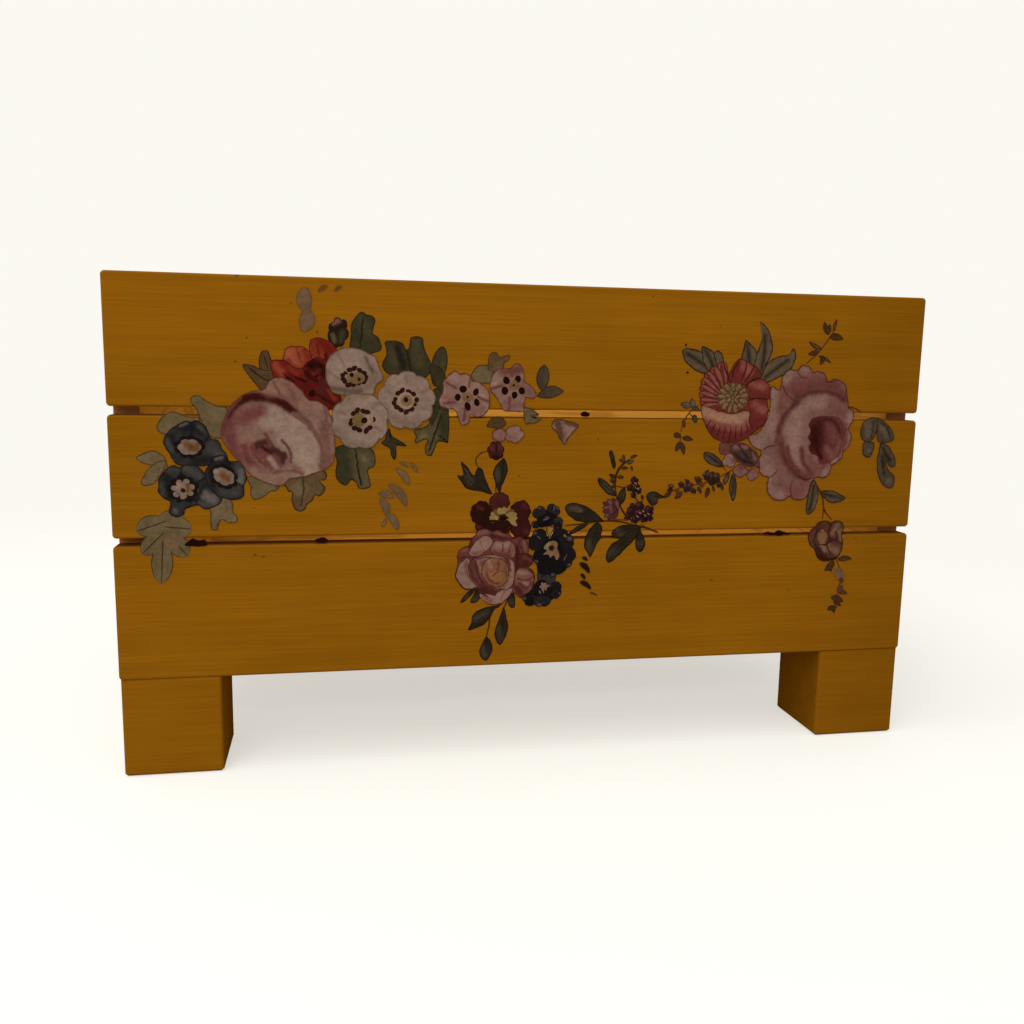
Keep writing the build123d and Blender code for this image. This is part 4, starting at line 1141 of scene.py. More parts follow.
        sheet.shape(points, ink, line="peony_line", pen=pen, strokes=strokes, step=0.4)


class KEEPSAKE_OT_peony(bpy.types.Operator):
    """Lay the ruffled pink peony"""

    bl_idname = "keepsake.peony"
    bl_label = "Middle spray: peony"

    def execute(self, context):
        return paper_piece(peony, 0.2, context, (-17, 75))


def black_blooms(sheet):
    """The blue-black flowers beside the peony."""
    for centre, radii in (((-1, -2), (6.4, 6.6)), ((-3.4, -16), (4.6, 4.6)), ((-3, 11.4), (3.6, 3.2))):
        sheet.bloom(centre, radii, "inky_deep", shake=0.4)
    for x, z, wide, high, ink, notch in (
        (-7.6, 8.8, 1.6, 1.3, "inky", 200), (-6.2, 13.5, 2.5, 2.2, "inky_pale", 120),
        (-0.7, 14.4, 2.3, 2.3, "inky_pale", 60), (1.2, 9.8, 2.3, 1.6, "inky_light", 0),
        (1, 8.3, 1.8, 1.3, "inky", 300), (-4.1, 10, 2.7, 2.6, "inky_deep", 90),
        (-3, -11.2, 4.6, 2.4, "inky_light", 90), (-8.4, -16, 1.6, 1.8, "inky_deep", 180),
        (-9.5, -19.1, 2.7, 2.6, "inky_deep", 215), (-4.4, -20, 2.7, 3, "inky_pale", 270),
        (0.7, -16, 2.8, 2.9, "inky", 0), (-3.8, -15, 3.1, 3.2, "inky_deep", 60),
        (-6.6, 3.2, 3.5, 3.9, "inky", 150), (3, 3.2, 4.2, 4.2, "inky", 45),
        (4.8, -4, 3.3, 3.7, "inky", 330), (-4.8, -5.4, 3.3, 4.5, "inky_deep", 210),
        (0.3, -7.8, 3.3, 3.9, "inky_deep", 280), (-1, -1, 4.4, 4.4, "inky_deep", 0),
    ):
        away = math.radians(notch)
        rim = (x + 1.02 * wide * math.cos(away), z + 1.02 * high * math.sin(away))
        side = (0.45 * wide * math.sin(away), -0.45 * high * math.cos(away))
        glint = (x + 0.55 * (rim[0] - x) + side[0], z + 0.55 * (rim[1] - z) + side[1])
        for share in (-0.8, 0.8):
            lobe = (x + share * side[0], z + share * side[1])
            sheet.bloom(lobe, (0.82 * wide, 0.82 * high), ink, line="shadow", pen=0.3, lobes=5, depth=0.08,
                turn=notch, shake=0.35, strokes=[("shadow", 0.5, 0.9, lobe, rim), ("inky_glint", 0.3 * wide,
                0.9, glint, (glint[0] - side[0] / 2, glint[1]))])
    sheet.shape((-3, 8.2, -0.6, 7.6, -1.4, 6, -2, 3.4, -3, 5.6), "star", line="shadow", pen=0.3)
    sheet.shape((-4.2, -2.6, -3, -1, -4.1, 0, -3.1, 2, -1.6, 2.8, 0, 2.6, 1.2, 1.6, 1, -0.4, 1.7, -2.2,
        1, -4.4, -0.2, -2.8, -1.6, -3.8, -2.6, -2.4), "eye_buff", heart=(-1.2, -0.4), shake=0.4,
        strokes=[("peach", 2.4, 0.9, 0.2, 0.4, 0.4, -2.4), ("star_low", 0.8, 0.9, -2.6, -1.6),
        ("star", 1.2, 0.9, -2.6, 1.2)])
    sheet.bloom((-1.3, 0), (1.3, 1.1), "olive_line", lobes=5, depth=0.2, shake=0.3)
    sheet.bloom((-1.4, 0.1), 0.6, "dot", shake=0.15)
    sheet.bloom((-3.8, -14.6), (1.6, 1.7), "chalk", lobes=6, depth=0.45, shake=0.4,
        strokes=[("peach", 0.9, 0.9, -3.4, -15.4)])
    for start, end, width, ink in (
        ((-4.6, -14), (-3.8, -17.2), 0.5, "chalk"), ((-3.2, -13.1), (-2.8, -16.2), 0.4, "peach"),
        ((-5.6, -16), (-5, -17.4), 0.5, "chalk"), ((3.4, 5), (4.2, 4), 0.9, "chalk"),
        ((-0.4, 16), (-0.8, 13.8), 0.35, "mist"), ((4.8, -2.4), (3.4, -5), 0.35, "mist"),
        ((-6.8, 4.8), (-5.4, 3.4), 0.4, "mist"), ((-4.8, 10.6), (-3, 11), 0.4, "mist"),
    ):
        sheet.blade([start, end], width, ink, tip=0.4)


class KEEPSAKE_OT_black_blooms(bpy.types.Operator):
    """Lay the blue-black flowers in the middle"""

    bl_idname = "keepsake.black_blooms"
    bl_label = "Middle spray: blue-black flowers"

    def execute(self, context):
        return paper_piece(black_blooms, 0.14, context, (5, 80))


def middle_branch(sheet):
    """The branch on the right of the middle spray."""
    for points, width in (
        ((8.5, 88.4, 16, 89, 23, 89.9, 30, 89.6, 36, 88, 41, 87, 45.5, 84.8), 0.6),
        ((38, 88.5, 42, 86.4, 45, 85.6), 0.4),
        ((22, 89.6, 29, 90.3, 33, 90), 0.4),
        ((36.4, 88.6, 32, 92, 29.6, 96, 28, 100, 27.6, 105, 28.4, 109, 31, 112, 33, 113), 0.7),
        ((36, 90, 38, 95, 35.5, 99, 35, 105), 0.5),
        ((38, 95, 38.6, 99.4), 0.4),
        ((28, 103, 31, 102.6, 33.6, 103), 0.4),
    ):
        sheet.blade(points, width, "stem", tip=0.15)
    for points, pale, vein in (
        ((8.7, 94.6, 9.3, 96.3, 12, 96.9, 16, 95.8, 19.4, 93.8, 22.4, 91.2, 23.6, 89.9, 19.4, 89.5,
         15.3, 89.6, 12, 90.7, 9.8, 92.4), (10.4, 94.8, 13.4, 94.6), (10.6, 93.4, 16, 92.6, 22.4, 90.3)),
        ((21.8, 89.4, 23, 87.4, 22.5, 83.6, 21, 80.7, 19.9, 78.4, 18.7, 76.2, 17.3, 78.4, 16.2, 80.7,
         16.7, 83.9, 18.3, 87.2, 20, 88.9), (18, 81.6, 18.4, 79), (21.4, 88, 19.8, 82.6, 18.6, 77.8)),
        ((38.3, 87.4, 35.3, 88.3, 30.8, 88.2, 28, 86.9, 26.7, 85, 28.2, 83.6, 31.4, 83.4, 35, 84.6),
         (29, 86, 30.6, 85), (27.8, 85, 32.6, 86.4, 37.2, 87.2)),
        ((38, 87.4, 34, 85.8, 30.4, 83.2, 27.4, 81.4, 25.6, 79.3, 24.8, 76.6, 25, 74.9, 26.4, 74,
         28.8, 75.7, 31.8, 78.6, 35.3, 81.9, 37.2, 85), (26.4, 77.4, 28.6, 78.4), (26.2, 75.8, 30.6, 80.6,
         37, 86.4)),
        ((38, 86.4, 39.4, 83.8, 40.1, 80.7, 39.1, 78.3, 37.7, 77.8, 36.4, 79.8, 36.3, 82.8, 37.2, 85.4),
         (38, 81), (38, 85, 38.1, 79.4)),
        ((17.6, 89, 14.4, 88.4, 11.6, 86.8, 9.8, 84.8, 12.4, 85.4, 15.4, 87), (12.6, 86.6), (16.4, 88.2,
         11, 85.8)),
        ((27.6, 99.2, 24.8, 100.2, 22.4, 102.4, 20.7, 105.2, 21.6, 106.2, 24.2, 104.8, 26.8, 102, 28, 100),
         (23.4, 103.6, 25.6, 101.4), (21.8, 105, 27, 100.2)),
        ((26.9, 109.4, 25.6, 112, 24.9, 115.6, 25.5, 116.4, 26.7, 114.6, 27.6, 111), (26, 114),
         (25.6, 115.4, 26.9, 110)),
        ((40, 98.2, 40.2, 100.2, 42.8, 100.9, 45.2, 100, 47, 98.8, 44.6, 98, 44.2, 96.2, 42.4, 95.4,
         41, 96.6), (42, 99.2, 43.4, 98), (41, 99.4, 45, 98.8)),
        ((29.4, 96, 28.6, 99, 29.8, 101.6, 31.4, 102.4, 31.8, 99.6, 31, 97), (30.2, 100), (29.8, 97,
         30.6, 101.4)),
    ):
        sheet.shape(points, "deep_leaf", line="deep_leaf_line", pen=0.45, strokes=[("deep_leaf_pale", 2.4,
            0.9, *pale)])
        sheet.blade(vein, 0.3, "deep_leaf_line", tip=0.2)
    sheet.blade((10, 95.2, 15.6, 93.6), 2, "grey_leaf", tip=0.6, widest=1.2)
    for base, end, width, ink in (
        ((30.6, 111.4), (30.6, 115), 1.5, "olive"), ((32, 111.4), (34.6, 112.6), 1.6, "olive"),
        ((33, 113.4), (35.9, 114.6), 1.2, "calyx"), ((31, 112), (28.6, 113.2), 1.1, "olive"),
        ((29.6, 109.6), (32.6, 109.8), 1.2, "calyx"), ((28.2, 106.4), (31, 106.2), 1.4, "calyx"),
        ((28, 106.3), (25, 107.6), 1.6, "floret_red"), ((27.8, 104.6), (25.4, 105.4), 1.5, "floret_red"),
        ((27.8, 103.4), (26, 102.8), 1.4, "calyx"), ((26.6, 104), (26.4, 107.4), 1.2, "calyx"),
        ((33.4, 110.6), (34, 108.8), 1, "calyx"), ((48, 101), (50, 102.6), 1, "twig"),
        ((48.4, 102.8), (49.6, 103.6), 0.9, "floret_red"), ((38.6, 98), (38.2, 99.8), 1.2, "floret_red"),
    ):
        sheet.blade([base, end], width, ink, line="deep_leaf_line", pen=0.3, bend=0.06)
    ends = ((23, 97), (22.9, 95.2), (23, 93.4), (23.6, 91.6), (25, 90.4), (24.6, 98.2), (26.6, 98.6),
        (28, 98), (27, 90.6))
    for index, end in enumerate(ends):
        sheet.blade([(29.2, 94), end], 2, "thistle_pale" if index % 2 else "thistle", line="thistle_line",
            pen=0.3, tip=0.5, widest=1.4)
    sheet.bloom((26.2, 94.2), (1.8, 2.2), "thistle", lobes=6, depth=0.3, shake=0.5,
        strokes=[("thistle_pale", 0.9, 0.9, 25.8, 95.4, 26.6, 93.6), ("thistle_line", 0.5, 0.9, 27, 95.6,
        27.2, 92.6)])
    for x, z, size in (
        (35, 105, 1.7), (36.2, 103, 1), (33.4, 102.4, 1.3), (36.8, 101.2, 1.2), (34.7, 99.6, 1.2),
        (34.9, 101.4, 0.9), (34.2, 93.4, 2.2), (33, 91.6, 1.5), (37.4, 95.4, 2), (41, 93.6, 2.2),
        (39.4, 91, 2), (35.8, 90.4, 1.8), (41.6, 90.8, 1.2), (37.6, 92.6, 2.4), (34.6, 95.4, 1.2),
    ):
        sheet.bloom((x, z), size, "floret_plum", lobes=5, depth=0.3, turn=50 * x, line="shadow", pen=0.3,
            shake=0.4, strokes=[("thistle", 0.7 * size, 0.9, (x - 0.4 * size, z + 0.4 * size)), ("dot", 0.5
            * size, 0.9, (x + 0.3 * size, z - 0.3 * size))])
    for x, z in (
        (37.2, 93.2), (39.2, 92.2), (38.4, 93.8), (36.2, 91.8), (40.4, 92.8), (35, 104.4), (36, 102.4),
    ):
        sheet.blade([(x, z), (x + 1.0, z - 0.7)], 0.5, "lilac_pale", tip=0.5)
    for start, end, width, ink in (
        ((15.6, 76.2), (17.8, 74.9), 1.4, "bud"), ((14.7, 74.2), (18.7, 70.1), 2.2, "bud"),
        ((15.2, 69.9), (17, 67.7), 1.4, "bud"), ((15, 67), (19.4, 63.9), 2, "bud"),
        ((18.8, 62.6), (22, 61.3), 0.7, "calyx"),
    ):
        sheet.blade([start, end], width, ink, tip=0.6, bend=0.1)
    sheet.shape((13.6, 129.8, 15, 130.6, 17, 130, 16.6, 129, 14.4, 128.8), "dot", shake=0.4)


class KEEPSAKE_OT_middle_branch(bpy.types.Operator):
    """Lay the branch that grows to the right, with its thistle and small florets"""

    bl_idname = "keepsake.middle_branch"
    bl_label = "Middle spray: branch and florets"

    def execute(self, context):
        return paper_piece(middle_branch, 0.06, context)


def right_leaves(sheet):
    """The twigs, leaves and florets of the right spray."""
    for points, width in (
        ((59, 133.5, 55.5, 130.5, 53.3, 127, 52.5, 123.5), 0.5),
        ((55.5, 130.5, 57.5, 128), 0.4),
        ((52.3, 123, 52.4, 120, 51.8, 118.5), 0.45),
        ((52.4, 121.6, 54, 121.2), 0.4),
        ((75, 110, 72, 108, 66, 105, 60, 103.5, 54, 102.5, 47.5, 100), 0.5),
        ((74.5, 109, 74.2, 104), 0.5),
        ((71.5, 108.6, 69, 111), 0.4),
        ((101.5, 149.5, 105, 152.5, 108, 156, 110.5, 159.5, 112.5, 163), 0.55),
        ((106.5, 105.5, 110, 101.5, 112, 97.5, 113, 93, 116.6, 89), 0.7),
        ((111.6, 98.5, 112.6, 94, 112.4, 89.4), 0.55),
        ((106.8, 105, 107.2, 102), 0.6),
        ((119.5, 73.4, 121, 70, 122, 66, 121.5, 61, 120, 55), 0.5),
        ((119.5, 133.5, 123, 132.7, 126.5, 131), 0.6),
    ):
        sheet.blade(points, width, "twig", tip=0.15)
    for points, vein in (
        ((74.8, 149, 75, 152, 76, 156.5, 76.4, 157.8, 78, 156.8, 80.4, 154.6, 81.6, 152, 81.5, 148.5),
         (78.5, 149, 77.8, 153, 77, 156)),
        ((81.6, 145.5, 80.4, 149, 81, 152.8, 82.5, 156.5, 82.9, 160, 81.8, 164.6, 84.6, 162.6, 86.7, 159,
         87.5, 155, 86.9, 152, 85.3, 148.5, 84.8, 145), (83.4, 147, 84.2, 153, 84, 159.5)),
        ((83, 143.4, 84.6, 147.7, 86.9, 150.5, 90.5, 152.1, 94, 152.7, 95.7, 155, 96.6, 154.4, 97.2, 151.5,
         95.6, 147.7, 92.8, 145.3, 89.2, 143.3, 85.5, 142), (85, 144, 89.5, 147.5, 94, 150.7)),
        ((51.7, 153.4, 53.6, 154.4, 56.2, 154, 58.8, 153.2, 61, 151, 64.6, 146.4, 62, 145.2, 59, 145.3,
         55.8, 147, 53, 149.4, 51.9, 151.6), (53.8, 152.3, 58, 149.8, 62.5, 147)),
        ((59.1, 153.6, 59.4, 155.2, 61, 154.8, 63.5, 153.4, 65.3, 151, 66.3, 148, 64.2, 145.8, 62, 146.2,
         60, 149.6), (60.6, 153.5, 62.6, 150.6, 64, 147.8)),
        ((64, 152.4, 65.4, 153.8, 67, 152.8, 68, 151, 67.7, 148.6, 65.6, 148, 64.6, 150), ()),
        ((61.7, 115, 62.6, 115.8, 65, 115.4, 67.6, 114, 69.6, 111.8, 70.2, 110.2, 67.6, 110, 64.6, 111.2,
         62.4, 113), (63, 114.6, 66.4, 112.8, 69, 111)),
        ((74.2, 108, 73, 105, 72.8, 101.5, 74, 97.9, 75, 97.2, 75.8, 100, 75.9, 103.5, 75, 107), (74.4, 106,
         74.5, 100)),
        ((72.6, 108.2, 71, 107, 70.2, 104.4, 70.9, 103.2, 72, 104.6, 73, 107), ()),
        ((108, 105, 106.2, 102.6, 105.4, 98, 105, 92.8, 106.4, 91.3, 108.6, 93, 109.8, 96.8, 110, 101),
         (107.8, 103, 107.4, 97, 106.6, 93)),
        ((110.6, 100.2, 113, 100.9, 117, 100.4, 120.6, 98.6, 121.8, 97.5, 119.5, 96.3, 115.6, 96,
         112.6, 97.6), (112, 99.4, 116.4, 98.6, 120, 97.6)),
    ):
        sheet.shape(points, "dark_leaf_pale", line="dark_leaf_line", pen=0.5, strokes=[("dark_leaf", 1.8,
            0.9, *vein)] if vein else ())
        if vein:
            sheet.blade(vein, 0.3, "dark_leaf_line", tip=0.2)
    for base, end, width, ink in (
        ((56, 133.2), (51.8, 134), 2.6, "grey_leaf_pale"),
        ((57.4, 131.8), (56.3, 136), 2.4, "grey_leaf_pale"),
        ((56.3, 132.6), (59.6, 131.3), 1.6, "grey_leaf"), ((57, 129.8), (58.2, 126.6), 2.2, "grey_leaf"),
        ((53, 127.8), (53.7, 124.8), 1.4, "twig"), ((49.6, 122.4), (52.6, 121.4), 2.2, "calyx"),
        ((53.2, 121), (57.4, 120.4), 1.9, "calyx"), ((52, 119.6), (50.6, 116), 2, "calyx"),
        ((52.5, 119.6), (54, 114.7), 2, "calyx"), ((107.2, 155.2), (102, 157.8), 1.7, "twig_pale"),
        ((106.1, 154.4), (101.9, 153.1), 2, "twig"), ((106.3, 152.5), (111.7, 149.9), 1.2, "twig_pale"),
        ((108.4, 152.4), (107.2, 149.2), 2, "calyx"), ((110, 160.5), (107.8, 165.3), 2.3, "calyx"),
        ((110.3, 159.8), (116.1, 159), 2.7, "calyx"), ((111.9, 161.8), (113, 166.4), 1.3, "twig_pale"),
        ((110.6, 161.4), (110, 164.6), 1.2, "calyx"), ((120.2, 73.2), (126.3, 73.4), 2.2, "calyx"),
        ((118.6, 72.6), (114.8, 68.8), 3, "calyx"), ((116, 71.4), (117.8, 68.2), 1.6, "calyx"),
        ((121.3, 60), (125.4, 59.2), 1.8, "bud_mauve"), ((118.4, 58), (123.8, 56), 2.6, "calyx"),
        ((119.6, 56), (123, 54.2), 1.6, "calyx"), ((117.2, 53), (121.4, 53.8), 2.2, "calyx"),
        ((119, 54.6), (120.2, 51.4), 1.6, "calyx"), ((61.8, 103.6), (58.8, 106.6), 2, "calyx"),
        ((64.4, 102.4), (63.4, 98.4), 1.9, "calyx"), ((54, 100.8), (51, 98.2), 2, "calyx"),
        ((49.6, 101), (46.4, 98.6), 1.8, "calyx"), ((60, 102.6), (61.6, 100), 1.4, "calyx"),
        ((56.8, 104), (54.8, 105.6), 1.5, "calyx"), ((50.6, 102.6), (48.4, 103.6), 1.6, "twig_pale"),
        ((63, 106), (64.2, 109.2), 1.8, "calyx"), ((68.8, 104), (70.4, 101.2), 1.6, "calyx"),
        ((66, 102.8), (66.8, 100.6), 1.2, "twig"),
    ):
        sheet.blade([base, end], width, ink, line="dark_leaf_line", pen=0.3, tip=0.7, veins=0.6, bend=0.06)
    for x, z, wide, high, ink in (
        (66.2, 105.8, 3, 2.8, "floret_dark"), (63.4, 107, 1.8, 1.6, "floret_dark"),
        (68.6, 103.4, 1.3, 1.2, "floret_dark"), (60.2, 105.4, 1.4, 1.2, "floret_dark"),
        (56, 102.6, 2.4, 1.9, "floret_dark"), (58.4, 101.2, 1.5, 1.2, "floret_dark"),
        (53.4, 103.6, 1.3, 1.1, "floret_dark"), (52, 101, 1.1, 0.9, "twig"),
        (49.4, 101.6, 1.1, 0.9, "floret_dark"), (62, 103.4, 1.2, 1, "twig"), (53, 155.5, 0.45, 0.4, "dot"),
        (54, 145.4, 0.45, 0.4, "dot"), (121.2, 67.6, 2.1, 2.6, "bud_pale"),
        (122.4, 64.8, 1.2, 1.2, "bud_mauve"), (122, 61.4, 1.7, 1.5, "bud_mauve"),
    ):
        tips = [("floret_pink", 0.5 * wide, 0.9, (x + 0.45 * wide * i, z + 0.4 * high)) for i in (-1, 0.7)]
        sheet.bloom((x, z), (wide, high), ink, lobes=5, depth=0.3, turn=30 * x, shake=0.3, strokes=tips if
            wide > 1.15 else ())
    for points, strokes in (
        ((126.5, 121.5, 126, 124.5, 127, 127.5, 129.5, 129.2, 132, 129.3, 133, 127, 132.5, 123, 131, 120.5,
         128.5, 120), [("grey_leaf_pale", 2.4, 0.9, 128.5, 127.5, 129.5, 123),
         ("grey_leaf_line", 0.5, 0.8, 131.4, 128, 130.6, 121.5)]),
        ((132.5, 129.3, 135, 128.3, 138, 126, 140.5, 122.5, 139.5, 120, 135, 119.5, 133, 121, 132.8, 125),
         [("grey_leaf_pale", 1.8, 0.9, 135, 125, 137.5, 122), ("grey_leaf_line", 0.6, 0.8, 134, 127.6,
         137, 125.6, 139, 121)]),
        ((128, 119.8, 127.3, 117, 128.3, 114.3, 130.5, 113.8, 132, 116, 132, 119.5),
         [("grey_leaf_pale", 1.4, 0.9, 130, 116.4)]),
        ((134.5, 119, 138, 118.5, 141.5, 114, 142, 110.5, 140, 110, 138, 112, 137, 114.5),
         [("grey_leaf_line", 1.2, 0.9, 136, 117.5, 139.5, 112.5)]),
        ((135, 119, 134, 113, 134.5, 108, 137, 103, 140.5, 101.5, 142, 103, 142, 106.5, 139.5, 108.5,
         138, 111.5, 137, 115), [("grey_leaf_line", 1.2, 0.9, 136, 114, 137.5, 107),
         ("grey_leaf_pale", 2, 0.9, 139.4, 104.4)]),
    ):
        sheet.shape(points, "grey_leaf", line="grey_leaf_line", pen=0.4, strokes=strokes)
    sheet.shape((87.6, 84, 90, 85, 92, 84.6, 94, 85.6, 96.4, 84.6, 99.6, 84, 96, 83.4, 91.6, 83.5), "dot",
        shake=0.5)


class KEEPSAKE_OT_right_leaves(bpy.types.Operator):
    """Lay the leaves, stems and twigs of the right spray"""

    bl_idname = "keepsake.right_leaves"
    bl_label = "Right spray: leaves and twigs"

    def execute(self, context):
        return paper_piece(right_leaves, 0.03, context)


def ribbed_flower(sheet):
    """A red flower with ribbed petals round a knot of stamens."""
    middle = (72.4, 136.4)
    sheet.bloom(middle, (11, 9.5), "ribbed_red")
    # Narrow petals on the left that curve in towards the stamens, each lit along one side
    for turn, reach, wide in (
        (112, 14.2, 4.4), (127, 14.3, 4.2), (140, 14.6, 3.8), (152, 14.3, 3.6), (163, 13.8, 3.4),
        (174, 13.5, 3.4), (186, 13.2, 3.4), (198, 13.3, 3.6),
    ):
        rim, mid, end = ((middle[0] + out * reach * math.cos(math.radians(turn + lag)), middle[1] + out *
            reach * math.sin(math.radians(turn + lag))) for out, lag in ((1, 0), (0.72, 4), (0.36, 16)))
        sheet.blade([rim, mid, end], wide, "ribbed_pink", line="rib", pen=0.45, tip=0.45, widest=0.6)
        sheet.blade([[0.94 * rim[i] + 0.06 * end[i] for i in (0, 1)], [mid[0] - 0.3, mid[1] - 0.5], end],
            0.36 * wide, "ribbed_low", tip=0.6)
    for points, strokes in (
        ((60.6, 133.4, 59.9, 131, 61.2, 127.6, 63.2, 124, 65.4, 121.4, 68.6, 119.8, 71.9, 119.2,
         75.2, 119.7, 78.4, 120.8, 81, 122.6, 83.8, 125, 85.6, 126.9, 82, 131, 77.5, 131.6, 72, 130.5,
         66.5, 131.6), [("ribbed_low", 2.6, 0.8, 62.4, 126, 67, 121, 74, 120.6, 81, 124),
         ("ribbed_pale", 4.6, 0.7, 62, 130.6, 68, 128.6, 75, 128.2, 79, 129.6),
         ("ribbed_pink", 2.4, 0.9, 63, 127.4, 69, 125.4, 76, 125, 80, 127.4)]),
        ((70.4, 143, 71.4, 147.4, 74, 150.6, 76.6, 150.4, 79, 149, 82, 147.4, 83.4, 144.4, 80, 141.6,
         75, 141.4), [("ribbed_pink", 3.2, 0.9, 75.6, 148.6, 79, 145.6),
         ("ribbed_low", 1.8, 0.9, 72.4, 144.4, 74, 149), ("ribbed_low", 2.2, 0.9, 82, 146, 80, 143)]),
        ((77.4, 141.4, 80, 143.4, 83, 143.9, 85.6, 142.7, 87.2, 140.6, 87.6, 138, 86.4, 135.6, 82, 135,
         78.6, 137), [("ribbed_pink", 2.6, 0.9, 80, 141.6, 84.4, 140.6), ("ribbed_low", 1.8, 0.9, 82, 136.8,
         86, 137.4)]),
        ((78.6, 135.6, 82, 136.4, 85.6, 136.2, 87, 133, 86.9, 129.4, 85.6, 126.7, 82, 124.4, 79.4, 127,
         79.4, 131), [("ribbed_pink", 2.8, 0.9, 81.4, 133.8, 85, 131.6), ("ribbed_low", 2.4, 0.9, 82, 126.4,
         85.4, 129)]),
    ):
        sheet.shape(points, "ribbed_red", line="ribbed_line", pen=0.35, strokes=strokes, step=0.45)
    for x, top, lean in (
        (62.6, 128.4, 1.6), (64.6, 126.8, 1.4), (66.9, 125.8, 1.1), (69.4, 125.6, 0.7), (71.9, 125.6, 0.3),
        (74.4, 125.6, -0.2), (76.9, 126, -0.7), (79.3, 127, -1),
    ):
        foot = 120 + 0.055 * (x - 72) ** 2
        sheet.blade([(x - 0.4, foot), (x + 0.5 * lean, (foot + top) / 2), (x + lean, top)], 0.42, "rib",
            tip=0.4)
    for points in (
        (67.8, 149.4, 69.4, 145.6, 71, 142), (77.2, 150, 76.8, 146.4, 75.2, 142.4),
        (80.4, 148.4, 79, 145.4, 76.6, 142), (83.2, 143.8, 79.6, 142.6, 77.4, 140.6),
        (86.6, 135.8, 82, 136.2, 78.8, 135.4), (74.2, 150, 72, 146.4, 71.8, 143),
    ):
        sheet.blade(points, 0.6, "rib", tip=0.4)
    sheet.bloom(middle, (6.3, 5.6), "stamen_low", lobes=14, depth=0.05, shake=0.3)
    for count, ring, long, wide in ((13, 4.5, 1.9, 1.1), (7, 2, 1.3, 0.9), (1, 0, 0.8, 0.8)):
        for index in range(count):
            turn = 360 * index / count + 9
            place = (middle[0] + ring * math.cos(math.radians(turn)), middle[1] + 0.9 * ring *
                math.sin(math.radians(turn)))
            sheet.bloom(place, (long, wide), "stamen", turn=turn, line="stamen_dark", pen=0.35, shake=0.3,
                strokes=[("stamen_low", 0.8, 0.8, (place[0] + 0.4, place[1] - 0.4))])


class KEEPSAKE_OT_ribbed_flower(bpy.types.Operator):
    """Lay the big red flower with ribbed petals and a ring of stamens"""

    bl_idname = "keepsake.ribbed_flower"
    bl_label = "Right spray: ribbed red flower"

    def execute(self, context):
        return paper_piece(ribbed_flower, 0.2, context)


def mauve_floret(sheet):
    """A small mauve flower below the ribbed one."""
    for x, z, wide, high, ink in (
        (81.9, 107.2, 2.8, 2.5, "lilac_deep"), (77, 108.6, 3.3, 2.6, "lilac_deep"),
        (70.4, 117.2, 2.9, 2.7, "lilac_shade"), (84, 112, 2.2, 3.2, "lilac_shade"),
        (72.6, 112.6, 3.2, 2.8, "lilac"),
    ):
        sheet.bloom((x, z), (wide, high), ink, lobes=4, depth=0.16, turn=35 * x, line="lilac_line", pen=0.4,
            strokes=[("lilac_shade", 0.7 * wide, 0.9, (x + 0.3 * (77.5 - x), z + 0.3 * (113 - z)))])
    sheet.shape((72.6, 118.6, 75.4, 119.4, 78.6, 119.2, 81, 117.4, 83.6, 115.4, 84.2, 112.6, 82.4, 110.2,
        79.4, 110.4, 76, 112, 73.4, 114.4, 72, 116.6), "lilac_grey", line="lilac_line", pen=0.5,
        strokes=[("lilac_deep", 1.6, 0.9, 74.4, 117.6, 79, 117.6), ("floret_dark", 1.2, 0.9, 74.4, 115,
        78, 112.6, 82, 111.4), ("floret_dark", 0.7, 0.8, 76, 118.4, 78.4, 115, 81, 112.4),
        ("lilac_deep", 1.2, 0.9, 81, 115.6, 82.8, 113), ("floret_dark", 0.7, 0.8, 80.4, 117, 81.6, 113.8)])


class KEEPSAKE_OT_mauve_floret(bpy.types.Operator):
    """Lay the small mauve flower under the ribbed one"""

    bl_idname = "keepsake.mauve_floret"
    bl_label = "Right spray: small mauve flower"

    def execute(self, context):
        return paper_piece(mauve_floret, 0.1, context)


